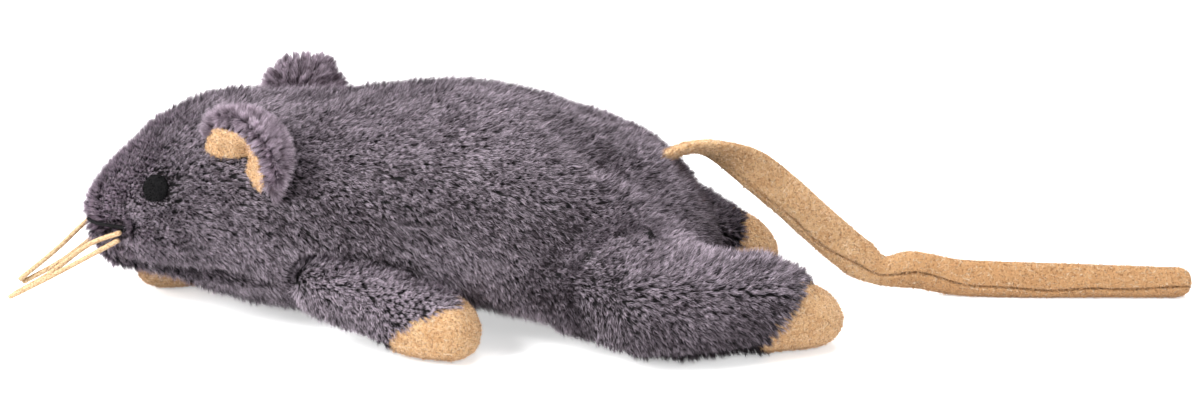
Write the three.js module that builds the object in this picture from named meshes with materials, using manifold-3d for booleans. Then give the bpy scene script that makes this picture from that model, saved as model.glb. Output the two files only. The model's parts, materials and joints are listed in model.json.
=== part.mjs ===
// A catnip mouse lying on its belly: two plush side panels over a belly gusset, four soft limbs, two ears,
// a folded suede tail and cord whiskers, round two lumps of stuffing and a sachet of catnip.
// Millimetres, +Z up, nose towards -X, the mouse's own left towards -Y, the floor at Z = 0.
import * as THREE from "three";
import { mergeVertices } from "three/addons/utils/BufferGeometryUtils.js";
import Module from "manifold-3d";

const wasm = await Module();
wasm.setup();

// Fabric and clearances
const PLUSH = 4; // pile and backing together
const LIMB_PLUSH = 3.2;
const GAP = 0.3; // between pieces that touch on the real toy
const FLOOR_PRESS = 0.5; // how far soft forms are pressed flat on the floor
const LIMB_CLEARANCE = 0.4; // between a limb and the body it lies against
const SEAT_CLEARANCE = 0.5; // round a limb's or the tail's turning root
const TINY = 0.1;

// The body, nose to rump: each station is a cross-section, a step on from the one before it.
// A station with no z lies on the floor
const NOSE_X = -81.8;
const TRUNK_WIDE = 28; // half the girth across the middle of the body
const NOSE = { step: 0, wide: 0, high: 0, z: 19.6 };
const MUZZLE = { step: 4.3, wide: 10, high: 10.2, z: 19.6 };
const LIPS = { step: 6.5, wide: 14.2, high: 14.4, z: 21.6 };
const BROW = { step: 9, wide: 18.6, high: 18.8, z: 26.3 };
const CHEEKS = { step: 10, wide: 22.8, high: 22.6, z: 28.1 };
const CROWN = { step: 10, wide: 25, high: 25.2, z: 28 };
const NECK = { step: 14, wide: 25.4, high: 26, z: 27 };
const CHEST = { step: 18, wide: 27, high: 27.4 };
const MIDDLE = { step: 16, wide: TRUNK_WIDE, high: 28.5 };
const WAIST = { step: 15, wide: TRUNK_WIDE, high: 26.7, z: 28.1 };
const LOIN = { step: 13, wide: TRUNK_WIDE, high: 25.9 };
const HIPS = { step: 12, wide: 27, high: 23.9 };
const RUMP = { step: 11, wide: 23.5, high: 21.3 };
const HAUNCH = { step: 8, wide: 17, high: 16.2, z: 17.4 };
const DOCK = { step: 5.4, wide: 9, high: 8.6, z: 14.4 };
const BODY_END = { step: 2.4, wide: 0, high: 0, z: 13 };
const BODY_STATIONS = [
  NOSE,
  MUZZLE,
  LIPS,
  BROW,
  CHEEKS,
  CROWN,
  NECK,
  CHEST,
  MIDDLE,
  WAIST,
  LOIN,
  HIPS,
  RUMP,
  HAUNCH,
  DOCK,
  BODY_END,
];
const BELLY_SQUARENESS = 2.25; // 2 is a true ellipse, more is flatter below
const RUMP_SQUARENESS = 2.8; // the heavier rear sags flatter
const HEAD_BOW = 11; // how far the nose end curves to the mouse's right
const RUMP_BOW = -2; // and the rump end, a little to its left
const SPINE_REACH = 75;
const SPINE_MIDDLE = -2;
const HEAD_TURN = THREE.MathUtils.degToRad(-15); // the line through both ears, against square to X
const RUMP_TURN = THREE.MathUtils.degToRad(13); // the line through both hips
const SEAM_BELOW_SIDE = THREE.MathUtils.degToRad(66); // where the belly gusset starts

// Eyes
const EYE_BEHIND_BROW = 6.7;
const EYE_RISE = THREE.MathUtils.degToRad(22.5);
const EYE_RADIUS = 3.1;
const EYE_THICK = 1.8;
const EYE_SUNK = 1;
const EYE_FORWARD = 0.4; // how much it looks ahead, against out
const EYE_DOME = { out: 0.6, up: 0.9 }; // where its face starts to round off

// Ears: round, of thick plush, dished in front for a suede lining
const EAR_BEHIND_CROWN = 7.9;
const EAR_RISE = THREE.MathUtils.degToRad(36);
const LEFT_EAR = { radius: 12.5, lift: 2 }; // lift is the hood's middle above the head
const RIGHT_EAR = { radius: 10.8, lift: 3.4 };
const EAR_LINING = 1.4;
const EAR_DISH = { ahead: 0.88, radius: 1.17 }; // the ball that dishes it, as shares of the ear's radius
const EAR_FACES = { forward: 0.42, out: 0.87, up: -0.26 };
const LINING_SET_BACK = 0.3;
const EAR_FOLD = 35; // degrees that it folds back

// Front legs: each is sewn on behind a station of the body, with its root let into the side,
// and has stations of its own, each a step on from the one before it
const LEFT_SHOULDER = { station: NECK, behind: 5.5, inset: 3.6, z: 14.6 };
const RIGHT_SHOULDER = { station: NECK, behind: -3.5, inset: 5.3, z: 14.6 };
const ARM_ROOT = 7.8;
const ARM_START = { step: -7.4, wide: 0, high: 7, z: 14.6 };
const ARM_NECK = { step: 7.4, wide: 7.5, high: 7.5, z: 14.6 };
const UPPER_ARM = { step: 10, wide: 9.2, high: 9.5, z: 13 };
const FOREARM = { step: 8.5, wide: 9.8, high: 10.2, z: 10.9 };
const WRIST = { step: 7, wide: 9.6, high: 9.8 };
const PALM = { step: 7.5, wide: 8.6, high: 8.8 };
const FINGERS = { step: 5, wide: 6.2, high: 6.4, z: 7.2 };
const PAW_TIP = { step: 2.3, wide: 0, high: 0, z: 6.6 };
const ARM = [ARM_START, ARM_NECK, UPPER_ARM, FOREARM, WRIST, PALM, FINGERS, PAW_TIP];
const ARM_CUFF = 21;
const ARM_CUFF_SLANT = 0;
const LEFT_ARM_BACK = 73; // degrees swept back from straight out
const RIGHT_ARM_BACK = -103;
const LEFT_ARM_SWING = [0, 85];
const RIGHT_ARM_SWING = [0, 90];

// Hind legs
const LEFT_HIP = { station: HIPS, behind: -1, inset: -3 };
const RIGHT_HIP = { station: HIPS, behind: 0, inset: -3 };
const LEG_ROOT = 14.5;
const LEG_START = { step: -13, wide: 0, high: 14, z: 14 };
const LEG_NECK_INSIDE_ROOT = 0.3;
const LEG_NECK_RADIUS = LEG_ROOT - LEG_NECK_INSIDE_ROOT;
const LEG_NECK = { step: 13, wide: LEG_NECK_RADIUS, high: LEG_NECK_RADIUS };
const THIGH = { step: 15, wide: 13.4, high: 13.2 };
const SHANK = { step: 12, wide: 11.8, high: 11.6 };
const ANKLE = { step: 8.2, wide: 9.2, high: 9.2 };
const SOLE = { step: 6, wide: 8, high: 8 };
const TOES = { step: 5, wide: 5.4, high: 5.2, z: 6.6 };
const FOOT_TIP = { step: 2.7, wide: 0, high: 0, z: 6 };
const LEG = [LEG_START, LEG_NECK, THIGH, SHANK, ANKLE, SOLE, TOES, FOOT_TIP];
const LEG_CUFF = 38;
const LEG_CUFF_SLANT = 27; // degrees: the suede reaches further up the outside
const LEFT_LEG_BACK = 99.5; // degrees swept back from straight out
const RIGHT_LEG_BACK = 100;
const LEG_SWING = [0, 45];
const LIMB_SQUARENESS = 2.4;
// The swell of each thigh on the body, ahead of the hip: rounds that are wrapped together, each ahead of
// the hip, in from it and over it
const THIGH_UNDER_ROOT = 1.4;
const THIGH_ROUNDS = [
  { ahead: 0, inward: 0, over: 0, radius: LEG_ROOT - THIGH_UNDER_ROOT },
  { ahead: 30, inward: 17.7, over: 0, radius: 13 },
  { ahead: 4, inward: 13.6, over: 17, radius: 9 },
];

// Tail: one suede strip folded on itself, lying flat at the rump and on its edge along the floor
const TAIL_WIDE = 9.8;
const TAIL_TIP_WIDE = 8.3;
const TAIL_THICK = 4;
const TAIL_TIP_ROUND = 4.5;
const TAIL_KINK_WIDE = 6.2; // where it is pinched at the bend
const TAIL_KINK_HEIGHT = 6.2;
const TAIL_BEFORE_HAUNCH = 1.6;
const TAIL_ABOVE_SKIN = 2.8;
const TAIL_KNUCKLE_BACK = 47.1; // the bend, back from the root
// The tail's route: back from the root, across from the spine, and over the floor
const TAIL_BASE_ROUTE = [
  [4.6, -0.8, 39.6],
  [12.6, 1, 36.1],
  [22.3, 3.2, 28.3],
  [31.8, 5.4, 18.8],
  [41, 7.2, 10.2],
];
const TAIL_KNUCKLE_ACROSS = 7.9;
const TAIL_END_ROUTE = [
  [55.1, 7.8, 6.4],
  [64.6, 7.2, 4.8],
  [74.6, 6.6, 4.4],
  [98.6, 6.2, 4.1],
  [121.8, 6.2, 3.65],
];
const TAIL_TURNED_BY = 0.45; // the share of the tail's base in which it turns onto its edge
const TAIL_PINCH = 0.15; // the share of each length that narrows to the bend
const TAIL_TAPERS_FROM = 0.3; // the share of the tail's end that keeps its full width
const TAIL_TIP_BLUNT = 0.85; // 1 would bring the tip to a point
const TAIL_EDGE_POWER = 0.7; // 1 is an oval strip, less has squarer edges
const TAIL_ROWS_TO_TIP = 1.6; // 1 spaces the rows evenly, more crowds them to the tip
const TAIL_ROOT_SWING = [-35, 35];
const TAIL_BEND_SWING = [-45, 45];

// Whiskers: waxed cord, two to a side
const WHISKER = 1.2;
const WHISKER_STEPS = 10;
const WHISKER_SIDES = 8;
const WHISKER_ROUTES = {
  left_whisker_upper: [
    [-69.6, -7.1, 21.6],
    [-77.9, -3.6, 17.2],
    [-88, -4, 9.7],
    [-96.4, -4, 4.8],
  ],
  left_whisker_lower: [
    [-70.2, -6.2, 19.4],
    [-77.4, -6.3, 15.4],
    [-86, -6.8, 10.8],
    [-97, -6.8, 5.1],
  ],
  right_whisker_upper: [
    [-72.6, 24.8, 19.2],
    [-80.5, 20, 16],
    [-89, 13, 9.6],
    [-97.6, 8.6, 3.4],
  ],
  right_whisker_lower: [
    [-72, 24.2, 15.2],
    [-79.5, 19, 11.6],
    [-88, 12.4, 6.8],
    [-97, 9.6, 2.4],
  ],
};

// Sachet of dried catnip in the middle of the stuffing
const SACHET_X = 4;
const SACHET_HEIGHT = 26;
const SACHET_RADII = new THREE.Vector3(20, 14, 8);
const SACHET_CLOTH = 1;

// Smoothness, as facets round and along
const BODY_FACETS = [20, 20];
const CAVITY_FACETS = [14, 13];
const LIMB_FACETS = [10, 9];
const LIMB_CORE_FACETS = [8, 7];
const BALL_FACETS = [12, 6];
const SEAT_FACETS = [14, 6];
const EAR_FACETS = [12, 8];
const TAIL_FACETS = [8, 11];
const SACHET_FACETS = [12, 6];
const EYE_FACETS = 12;
const WEDGE_STEPS = [2, 10];

// Finishes, as the photo shows them
const plush = () => new THREE.MeshStandardMaterial({ color: 0x6c6068, roughness: 0.95, metalness: 0 });
const suede = () => new THREE.MeshStandardMaterial({ color: 0xcfa578, roughness: 0.9, metalness: 0 });
const felt = () => new THREE.MeshStandardMaterial({ color: 0x0c0c0c, roughness: 0.9, metalness: 0 });
const cord = () => new THREE.MeshStandardMaterial({ color: 0xd2b48a, roughness: 0.7, metalness: 0 });
const fibre = () => new THREE.MeshStandardMaterial({ color: 0xf2f0ea, roughness: 1, metalness: 0 });
const cotton = () => new THREE.MeshStandardMaterial({ color: 0xe6ddc8, roughness: 0.95, metalness: 0 });
const herb = () => new THREE.MeshStandardMaterial({ color: 0x6f7a45, roughness: 1, metalness: 0 });

// Solids from three.js geometry

function solidFrom(geometry) {
  geometry.deleteAttribute("normal");
  geometry.deleteAttribute("uv");
  const merged = mergeVertices(geometry, 1e-4);
  const solidOf = (triVerts) => {
    const vertProperties = merged.attributes.position.array;
    return new wasm.Manifold(new wasm.Mesh({ numProp: 3, vertProperties, triVerts }));
  };
  const faces = new Uint32Array(merged.index.array);
  const solid = solidOf(faces);
  return solid.volume() > 0 ? solid : solidOf(faces.reverse());
}

function meshFrom(name, solid, material) {
  const made = solid.getMesh();
  const geometry = new THREE.BufferGeometry();
  geometry.setAttribute("position", new THREE.BufferAttribute(made.vertProperties, 3));
  geometry.setIndex(new THREE.BufferAttribute(made.triVerts, 1));
  geometry.computeVertexNormals();
  const mesh = new THREE.Mesh(geometry, material);
  mesh.name = name;
  return mesh;
}

function boxSolid(low, high) {
  const size = new THREE.Vector3().subVectors(high, low);
  const middle = new THREE.Vector3().addVectors(low, high).multiplyScalar(0.5);
  const geometry = new THREE.BoxGeometry(size.x, size.y, size.z);
  return solidFrom(geometry.translate(middle.x, middle.y, middle.z));
}

function ballSolid(centre, radii, facets) {
  const geometry = new THREE.SphereGeometry(1, facets[0], facets[1]);
  geometry.rotateX(Math.PI / 2).scale(radii.x, radii.y, radii.z);
  return solidFrom(geometry.translate(centre.x, centre.y, centre.z));
}

function discSolid(centre, radius, height, facets) {
  const geometry = new THREE.CylinderGeometry(radius, radius, height, facets);
  return solidFrom(geometry.rotateX(Math.PI / 2).translate(centre.x, centre.y, centre.z));
}

const FAR = 400;
const FLOOR = boxSolid(new THREE.Vector3(-FAR, -FAR, -FAR), new THREE.Vector3(FAR, FAR, 0));

// The spine and the swelling forms

const spineSide = (x) => (x < SPINE_MIDDLE ? HEAD_BOW : RUMP_BOW) * ((x - SPINE_MIDDLE) / SPINE_REACH) ** 2;

// A point beside the spine: out is towards the mouse's right when side is 1 and its left when side is -1.
function besideSpine(x, side, out, z, turn) {
  return new THREE.Vector3(x - side * out * Math.sin(turn), spineSide(x) + side * out * Math.cos(turn), z);
}

// Stations with their places along the form and their heights over the floor.
function settled(start, stations) {
  let x = start;
  return stations.map((s) => {
    x += s.step;
    return { z: s.high - FLOOR_PRESS, ...s, x };
  });
}

const BODY = settled(NOSE_X, BODY_STATIONS);
const bodyX = (station) => BODY[BODY_STATIONS.indexOf(station)].x;

// The same stations with every section drawn in by a depth, or let out if it is negative.
function drawnIn(stations, depth) {
  const first = { ...stations[0], x: stations[0].x + depth };
  const end = stations.at(-1);
  const last = { ...end, x: end.x - depth };
  const least = Math.max(depth / 2, TINY);
  const between = stations.slice(1, -1).filter((s) => s.x > first.x + least && s.x < last.x - least);
  const inner = between.map((s) => ({ ...s, wide: s.wide - depth, high: s.high - depth }));
  return [{ ...first, high: 0 }, ...inner, { ...last, high: 0 }];
}

function sectionAt(stations) {
  const line = new THREE.CatmullRomCurve3(
    stations.map((s) => new THREE.Vector3(s.x, s.z, 0)),
    false,
    "catmullrom",
  );
  const girth = new THREE.CatmullRomCurve3(
    stations.map((s) => new THREE.Vector3(s.wide, s.high, 0)),
    false,
    "catmullrom",
  );
  return (t) => {
    const place = line.getPoint(t);
    const size = girth.getPoint(t);
    return { x: place.x, z: place.y, wide: size.x, high: size.y };
  };
}

// A point on a section: angle 0 is the mouse's left, a quarter turn is its top. Below it is squarer.
function onSection(section, angle, squareness) {
  const along = Math.cos(angle);
  const up = Math.sin(angle);
  const power = up < 0 ? 2 / squareness : 1;
  const side = -Math.sign(along) * Math.abs(along) ** power * section.wide;
  return new THREE.Vector3(section.x, side, section.z + Math.sign(up) * Math.abs(up) ** power * section.high);
}

// A closed form that swells and tapers through its stations, made by re-placing the points of a sphere.
function swell(stations, squareness, facets) {
  const sectionOf = sectionAt(stations);
  const geometry = new THREE.SphereGeometry(1, facets[0], facets[1]);
  const { position, uv } = geometry.attributes;
  for (let i = 0; i < position.count; i += 1) {
    const section = sectionOf(1 - uv.getY(i));
    const point = onSection(section, 2 * Math.PI * uv.getX(i), squareness(section.x));
    position.setXYZ(i, point.x, point.y, point.z);
  }
  return geometry;
}

function bowed(geometry) {
  const { position } = geometry.attributes;
  for (let i = 0; i < position.count; i += 1) {
    position.setY(i, position.getY(i) + spineSide(position.getX(i)));
  }
  return geometry;
}

const bodySquareness = (x) => {
  const { lerp, smoothstep } = THREE.MathUtils;
  return lerp(BELLY_SQUARENESS, RUMP_SQUARENESS, smoothstep(x, bodyX(WAIST), bodyX(HIPS)));
};

function bodyForm(depth, facets) {
  return solidFrom(bowed(swell(drawnIn(BODY, depth), bodySquareness, facets)));
}

// The body with both thighs on it.
function seatForm(depth, facets) {
  const hips = [
    [-1, LEFT_HIP],
    [1, RIGHT_HIP],
  ];
  return hips.reduce((form, [side, seat]) => form.add(thigh(side, seat, depth)), bodyForm(depth, facets));
}

function thigh(side, seat, depth) {
  const hip = rootOf(side, seat, LEG_ROOT, RUMP_TURN);
  const rounds = THIGH_ROUNDS.map(({ ahead, inward, over, radius }) => {
    const centre = new THREE.Vector3(hip.x - ahead, hip.y - side * inward, hip.z + over);
    const left = radius - depth;
    return ballSolid(centre, new THREE.Vector3(left, left, left), BALL_FACETS);
  });
  return wasm.Manifold.hull(rounds);
}

function bodySectionAtX(x) {
  const sectionOf = sectionAt(BODY);
  let low = 0;
  let high = 1;
  for (let i = 0; i < 40; i += 1) {
    const half = (low + high) / 2;
    if (sectionOf(half).x < x) low = half;
    else high = half;
  }
  return sectionOf(low);
}

// Where a limb is sewn on: its root's middle, let into the side of the body.
function rootOf(side, seat, root, turn) {
  const x = bodyX(seat.station) + seat.behind;
  const out = bodySectionAtX(x).wide - seat.inset;
  return besideSpine(x, side, out, seat.z ?? root - FLOOR_PRESS, turn);
}

// A point at a rise above the horizontal on the side of the head, lifted off its skin. The head is turned,
// so its left side is nearer the nose than its right side is.
function onHead(x, side, rise, lift) {
  const reach = bodySectionAtX(x).wide * Math.cos(rise);
  const { x: there } = besideSpine(x, side, reach, 0, HEAD_TURN);
  const section = bodySectionAtX(there);
  const y = spineSide(there) + side * (section.wide + lift) * Math.cos(rise);
  return new THREE.Vector3(there, y, section.z + (section.high + lift) * Math.sin(rise));
}

// Forward, out and up on one side of the head, as unit vectors.
function headAxes(side) {
  return {
    forward: new THREE.Vector3(-Math.cos(HEAD_TURN), -Math.sin(HEAD_TURN), 0),
    out: new THREE.Vector3(-Math.sin(HEAD_TURN), Math.cos(HEAD_TURN), 0).multiplyScalar(side),
    up: new THREE.Vector3(0, 0, 1),
  };
}

function mixed(axes, shares) {
  const made = new THREE.Vector3();
  made.addScaledVector(axes.forward, shares.forward);
  made.addScaledVector(axes.out, shares.out);
  return made.addScaledVector(axes.up, shares.up).normalize();
}

const outer = seatForm(0, BODY_FACETS);
const cavity = seatForm(PLUSH, CAVITY_FACETS);
const stuffed = seatForm(PLUSH + GAP, CAVITY_FACETS);
const keepOut = seatForm(-LIMB_CLEARANCE, BODY_FACETS);
const nearSkin = bodyForm(-GAP, BODY_FACETS);

// A wedge of space along the whole body between two angles, less half a seam at each face.
function wedge(from, to) {
  const reach = 2 * MIDDLE.high;
  const past = 10;
  const geometry = new THREE.BoxGeometry(1, 1, 1, 1, WEDGE_STEPS[0], WEDGE_STEPS[1]);
  const { position } = geometry.attributes;
  for (let i = 0; i < position.count; i += 1) {
    const radius = THREE.MathUtils.lerp(GAP, reach, position.getX(i) + 0.5);
    const turned = position.getY(i) + 0.5;
    const angle = THREE.MathUtils.lerp(from, to, turned);
    const seam = (0.5 - turned) * GAP;
    const x = THREE.MathUtils.lerp(bodyX(NOSE) - past, bodyX(BODY_END) + past, position.getZ(i) + 0.5);
    const held = THREE.MathUtils.clamp(x, bodyX(NOSE) + TINY, bodyX(BODY_END) - TINY);
    const y = spineSide(x) - radius * Math.cos(angle) + seam * Math.sin(angle);
    const z = bodySectionAtX(held).z + radius * Math.sin(angle) + seam * Math.cos(angle);
    position.setXYZ(i, x, y, z);
  }
  return solidFrom(geometry);
}

// Limbs: a round root that turns in a seat, and a form that swells and tapers from it

const SEATS = [];

function limbForm(stations, root, depth, facets, placing) {
  const centre = new THREE.Vector3().setFromMatrixPosition(placing);
  const fromRoot = settled(0, stations).map((s) => ({ ...s, z: s.z - centre.z }));
  const swollen = swell(drawnIn(fromRoot, depth), () => LIMB_SQUARENESS, facets);
  const form = solidFrom(swollen.applyMatrix4(placing));
  const radius = root - depth;
  return form.add(ballSolid(centre, new THREE.Vector3(radius, radius, radius), BALL_FACETS));
}

function limb({ names, side, seat, turn, stations, root, cuff, slant, back, group }) {
  const centre = rootOf(side, seat, root, turn);
  const heading = (side * Math.PI) / 2 - side * THREE.MathUtils.degToRad(back);
  const placing = new THREE.Matrix4().makeRotationZ(heading).setPosition(centre);
  const seatRadius = root + SEAT_CLEARANCE;
  const seatRadii = new THREE.Vector3(seatRadius, seatRadius, seatRadius);
  const held = new THREE.Vector3(root + TINY, root + TINY, root + TINY);
  SEATS.push(ballSolid(centre, seatRadii, SEAT_FACETS));
  const cutter = keepOut.subtract(ballSolid(centre, held, SEAT_FACETS)).add(FLOOR);
  const reach = settled(0, stations).at(-1).x + root;
  const slab = (from, to, low, high) => {
    const box = new THREE.BoxGeometry(to - from, 2 * reach, high - low);
    box.translate((from + to) / 2 - cuff, 0, (low + high) / 2);
    box.rotateZ(side * THREE.MathUtils.degToRad(slant));
    return solidFrom(box.translate(cuff, 0, 0).applyMatrix4(placing));
  };
  const above = slab(-reach, cuff, GAP / 2, reach);
  const below = slab(-reach, cuff, -reach, -GAP / 2);
  const beyond = slab(cuff + GAP, reach, -reach, reach);
  const skin = limbForm(stations, root, 0, LIMB_FACETS, placing)
    .subtract(limbForm(stations, root, LIMB_PLUSH, LIMB_CORE_FACETS, placing))
    .subtract(cutter);
  const core = limbForm(stations, root, LIMB_PLUSH + GAP, LIMB_CORE_FACETS, placing).subtract(cutter);
  group.add(meshFrom(names.upper, skin.intersect(above), plush()));
  group.add(meshFrom(names.lower, skin.intersect(below), plush()));
  group.add(meshFrom(names.tip, skin.intersect(beyond), suede()));
  group.add(meshFrom(names.filling, core, fibre()));
  return centre;
}

// Ears

function ear({ word, side, group }) {
  const axes = headAxes(side);
  const { radius: full, lift } = side < 0 ? LEFT_EAR : RIGHT_EAR;
  const centre = onHead(bodyX(CROWN) + EAR_BEHIND_CROWN, side, EAR_RISE, lift);
  const faces = mixed(axes, EAR_FACES);
  const round = (middle, radius) => ballSolid(middle, new THREE.Vector3(radius, radius, radius), EAR_FACETS);
  const dishMiddle = centre.clone().addScaledVector(faces, EAR_DISH.ahead * full);
  const dish = (depth) => round(dishMiddle, EAR_DISH.radius * full - depth);
  const open = (setBack) => {
    const box = new THREE.BoxGeometry(4 * full, 4 * full, 4 * full);
    box.translate(0, 0, 2 * full - setBack);
    const turn = new THREE.Quaternion().setFromUnitVectors(new THREE.Vector3(0, 0, 1), faces);
    return solidFrom(box.applyQuaternion(turn).translate(centre.x, centre.y, centre.z));
  };
  const back = round(centre, full).subtract(dish(0)).subtract(open(0)).subtract(nearSkin);
  const lining = dish(GAP)
    .subtract(dish(GAP + EAR_LINING))
    .subtract(open(LINING_SET_BACK))
    .subtract(nearSkin);
  group.add(meshFrom(`${word}_ear_back`, back, plush()));
  group.add(meshFrom(`${word}_ear_lining`, lining, suede()));
  const away = mixed(axes, { forward: 0, out: Math.cos(EAR_RISE), up: Math.sin(EAR_RISE) });
  const front = faces.clone().addScaledVector(away, -faces.dot(away)).normalize();
  const axis = front.clone().cross(away);
  const hinge = centre.clone().addScaledVector(front, -full).addScaledVector(away, -2 * lift);
  return { pos: hinge, axis, range: [0, EAR_FOLD] };
}

// Eyes: small domed discs let into the face

function eyeSolid(side, radius, thick, sunk) {
  const centre = onHead(bodyX(BROW) + EYE_BEHIND_BROW, side, EYE_RISE, 0);
  const axes = headAxes(side);
  const facing = mixed(axes, { forward: EYE_FORWARD, out: Math.cos(EYE_RISE), up: Math.sin(EYE_RISE) });
  const dome = [
    new THREE.Vector2(0, -sunk),
    new THREE.Vector2(radius, -sunk),
    new THREE.Vector2(radius, thick / 2 - sunk),
    new THREE.Vector2(EYE_DOME.out * radius, EYE_DOME.up * thick - sunk),
    new THREE.Vector2(0, thick - sunk),
  ];
  const turn = new THREE.Quaternion().setFromUnitVectors(new THREE.Vector3(0, 1, 0), facing);
  const geometry = new THREE.LatheGeometry(dome, EYE_FACETS).applyQuaternion(turn);
  return solidFrom(geometry.translate(centre.x, centre.y, centre.z));
}

// Tail: a strip swept along its route, its near edge rising until its broad way is upright

function strip(route, uprightAt, wideAt, roundTip) {
  const curve = new THREE.CatmullRomCurve3(route);
  const length = curve.getLength();
  const geometry = new THREE.CylinderGeometry(1, 1, 1, TAIL_FACETS[0], TAIL_FACETS[1]);
  const { position } = geometry.attributes;
  const level = new THREE.Vector3(0, 1, 0);
  for (let i = 0; i < position.count; i += 1) {
    const row = position.getY(i) + 0.5;
    const t = roundTip ? 1 - (1 - row) ** TAIL_ROWS_TO_TIP : row;
    const spot = curve.getPointAt(t);
    const ahead = curve.getTangentAt(t);
    const upright = new THREE.Vector3().crossVectors(ahead, level);
    const turned = uprightAt(t) * (Math.PI / 2);
    const broad = level.clone().multiplyScalar(-Math.cos(turned)).addScaledVector(upright, Math.sin(turned));
    broad.addScaledVector(ahead, -broad.dot(ahead)).normalize();
    const flat = new THREE.Vector3().crossVectors(ahead, broad);
    const past = Math.max(0, (t - 1) * length + TAIL_TIP_ROUND) / TAIL_TIP_ROUND;
    const taper = roundTip ? Math.sqrt(1 - TAIL_TIP_BLUNT * past * past) : 1;
    const angle = Math.atan2(position.getZ(i), position.getX(i));
    const radius = (Math.hypot(position.getX(i), position.getZ(i)) * taper) / 2;
    const across = Math.sign(Math.cos(angle)) * Math.abs(Math.cos(angle)) ** TAIL_EDGE_POWER;
    spot.addScaledVector(broad, across * radius * wideAt(t));
    spot.addScaledVector(flat, Math.sin(angle) * radius * TAIL_THICK);
    position.setXYZ(i, spot.x, spot.y, spot.z);
  }
  return solidFrom(geometry);
}

const tailX = bodyX(HAUNCH) - TAIL_BEFORE_HAUNCH;
const tailSkin = bodySectionAtX(tailX);
const TAIL_SEAT = new THREE.Vector3(tailX, spineSide(tailX), tailSkin.z + tailSkin.high + TAIL_ABOVE_SKIN);
const TAIL_KNUCKLE = new THREE.Vector3(tailX + TAIL_KNUCKLE_BACK, TAIL_KNUCKLE_ACROSS, TAIL_KINK_HEIGHT);

function tail(group) {
  const { lerp, smoothstep } = THREE.MathUtils;
  const kneeRadius = TAIL_THICK / 2;
  const baseEnd = TAIL_KNUCKLE.clone();
  baseEnd.x -= kneeRadius / 2;
  const place = ([back, across, over]) => new THREE.Vector3(tailX + back, across, over);
  const vectors = (route) => route.map(place);
  const baseRoute = [TAIL_SEAT, ...vectors(TAIL_BASE_ROUTE), baseEnd];
  const endRoute = [TAIL_KNUCKLE, ...vectors(TAIL_END_ROUTE)];
  const root = discSolid(TAIL_SEAT, TAIL_WIDE / 2, TAIL_THICK, SEAT_FACETS[0]);
  const socket = discSolid(TAIL_KNUCKLE, kneeRadius + SEAT_CLEARANCE, 2 * TAIL_WIDE, SEAT_FACETS[0]);
  const barrel = discSolid(TAIL_KNUCKLE, kneeRadius, TAIL_KINK_WIDE, SEAT_FACETS[0]);
  const turning = (t) => smoothstep(t, 0, TAIL_TURNED_BY);
  const narrowing = (t) => lerp(TAIL_WIDE, TAIL_KINK_WIDE, smoothstep(t, 1 - TAIL_PINCH, 1));
  const tapering = (t) => lerp(TAIL_WIDE, TAIL_TIP_WIDE, smoothstep(t, TAIL_TAPERS_FROM, 1));
  const widening = (t) => lerp(TAIL_KINK_WIDE, tapering(t), smoothstep(t, 0, TAIL_PINCH));
  const base = strip(baseRoute, turning, narrowing, false).add(root).subtract(socket).subtract(FLOOR);
  const end = strip(endRoute, () => 1, widening, true).add(barrel).subtract(FLOOR);
  group.add(meshFrom("tail_base", base, suede()));
  group.add(meshFrom("tail_end", end, suede()));
  const seatRadius = TAIL_WIDE / 2 + SEAT_CLEARANCE;
  SEATS.push(discSolid(TAIL_SEAT, seatRadius, TAIL_THICK + 2 * SEAT_CLEARANCE, SEAT_FACETS[0]));
}

// Whiskers

function whisker(name, route) {
  const section = new THREE.Shape();
  for (let i = 0; i < WHISKER_SIDES; i += 1) {
    const angle = (2 * Math.PI * i) / WHISKER_SIDES;
    const x = (WHISKER / 2) * Math.cos(angle);
    const y = (WHISKER / 2) * Math.sin(angle);
    if (i === 0) section.moveTo(x, y);
    else section.lineTo(x, y);
  }
  const extrudePath = new THREE.CatmullRomCurve3(route.map((p) => new THREE.Vector3(...p)));
  const geometry = new THREE.ExtrudeGeometry(section, { steps: WHISKER_STEPS, extrudePath });
  return meshFrom(name, solidFrom(geometry), cord());
}

// The assembly

const mouse = new THREE.Group();
export const joints = {};

for (const [word, side] of [
  ["left", -1],
  ["right", 1],
]) {
  const arm = limb({
    names: {
      upper: `${word}_arm_upper`,
      lower: `${word}_arm_lower`,
      tip: `${word}_front_paw`,
      filling: `${word}_arm_stuffing`,
    },
    side,
    seat: side < 0 ? LEFT_SHOULDER : RIGHT_SHOULDER,
    turn: 0,
    stations: ARM,
    root: ARM_ROOT,
    cuff: ARM_CUFF,
    slant: ARM_CUFF_SLANT,
    back: side < 0 ? LEFT_ARM_BACK : RIGHT_ARM_BACK,
    group: mouse,
  });
  const leg = limb({
    names: {
      upper: `${word}_leg_upper`,
      lower: `${word}_leg_lower`,
      tip: `${word}_hind_foot`,
      filling: `${word}_leg_stuffing`,
    },
    side,
    seat: side < 0 ? LEFT_HIP : RIGHT_HIP,
    turn: RUMP_TURN,
    stations: LEG,
    root: LEG_ROOT,
    cuff: LEG_CUFF,
    slant: LEG_CUFF_SLANT,
    back: side < 0 ? LEFT_LEG_BACK : RIGHT_LEG_BACK,
    group: mouse,
  });
  const down = new THREE.Vector3(0, 0, -1);
  joints[`${word}_shoulder`] = { pos: arm, axis: down, range: side < 0 ? LEFT_ARM_SWING : RIGHT_ARM_SWING };
  joints[`${word}_hip`] = { pos: leg, axis: new THREE.Vector3(0, 0, side), range: LEG_SWING };
  joints[`${word}_ear_fold`] = ear({ word, side, group: mouse });
}

tail(mouse);
const upwards = new THREE.Vector3(0, 0, 1);
joints.tail_root = { pos: TAIL_SEAT, axis: upwards, range: TAIL_ROOT_SWING };
joints.tail_bend = { pos: TAIL_KNUCKLE, axis: upwards, range: TAIL_BEND_SWING };

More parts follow.
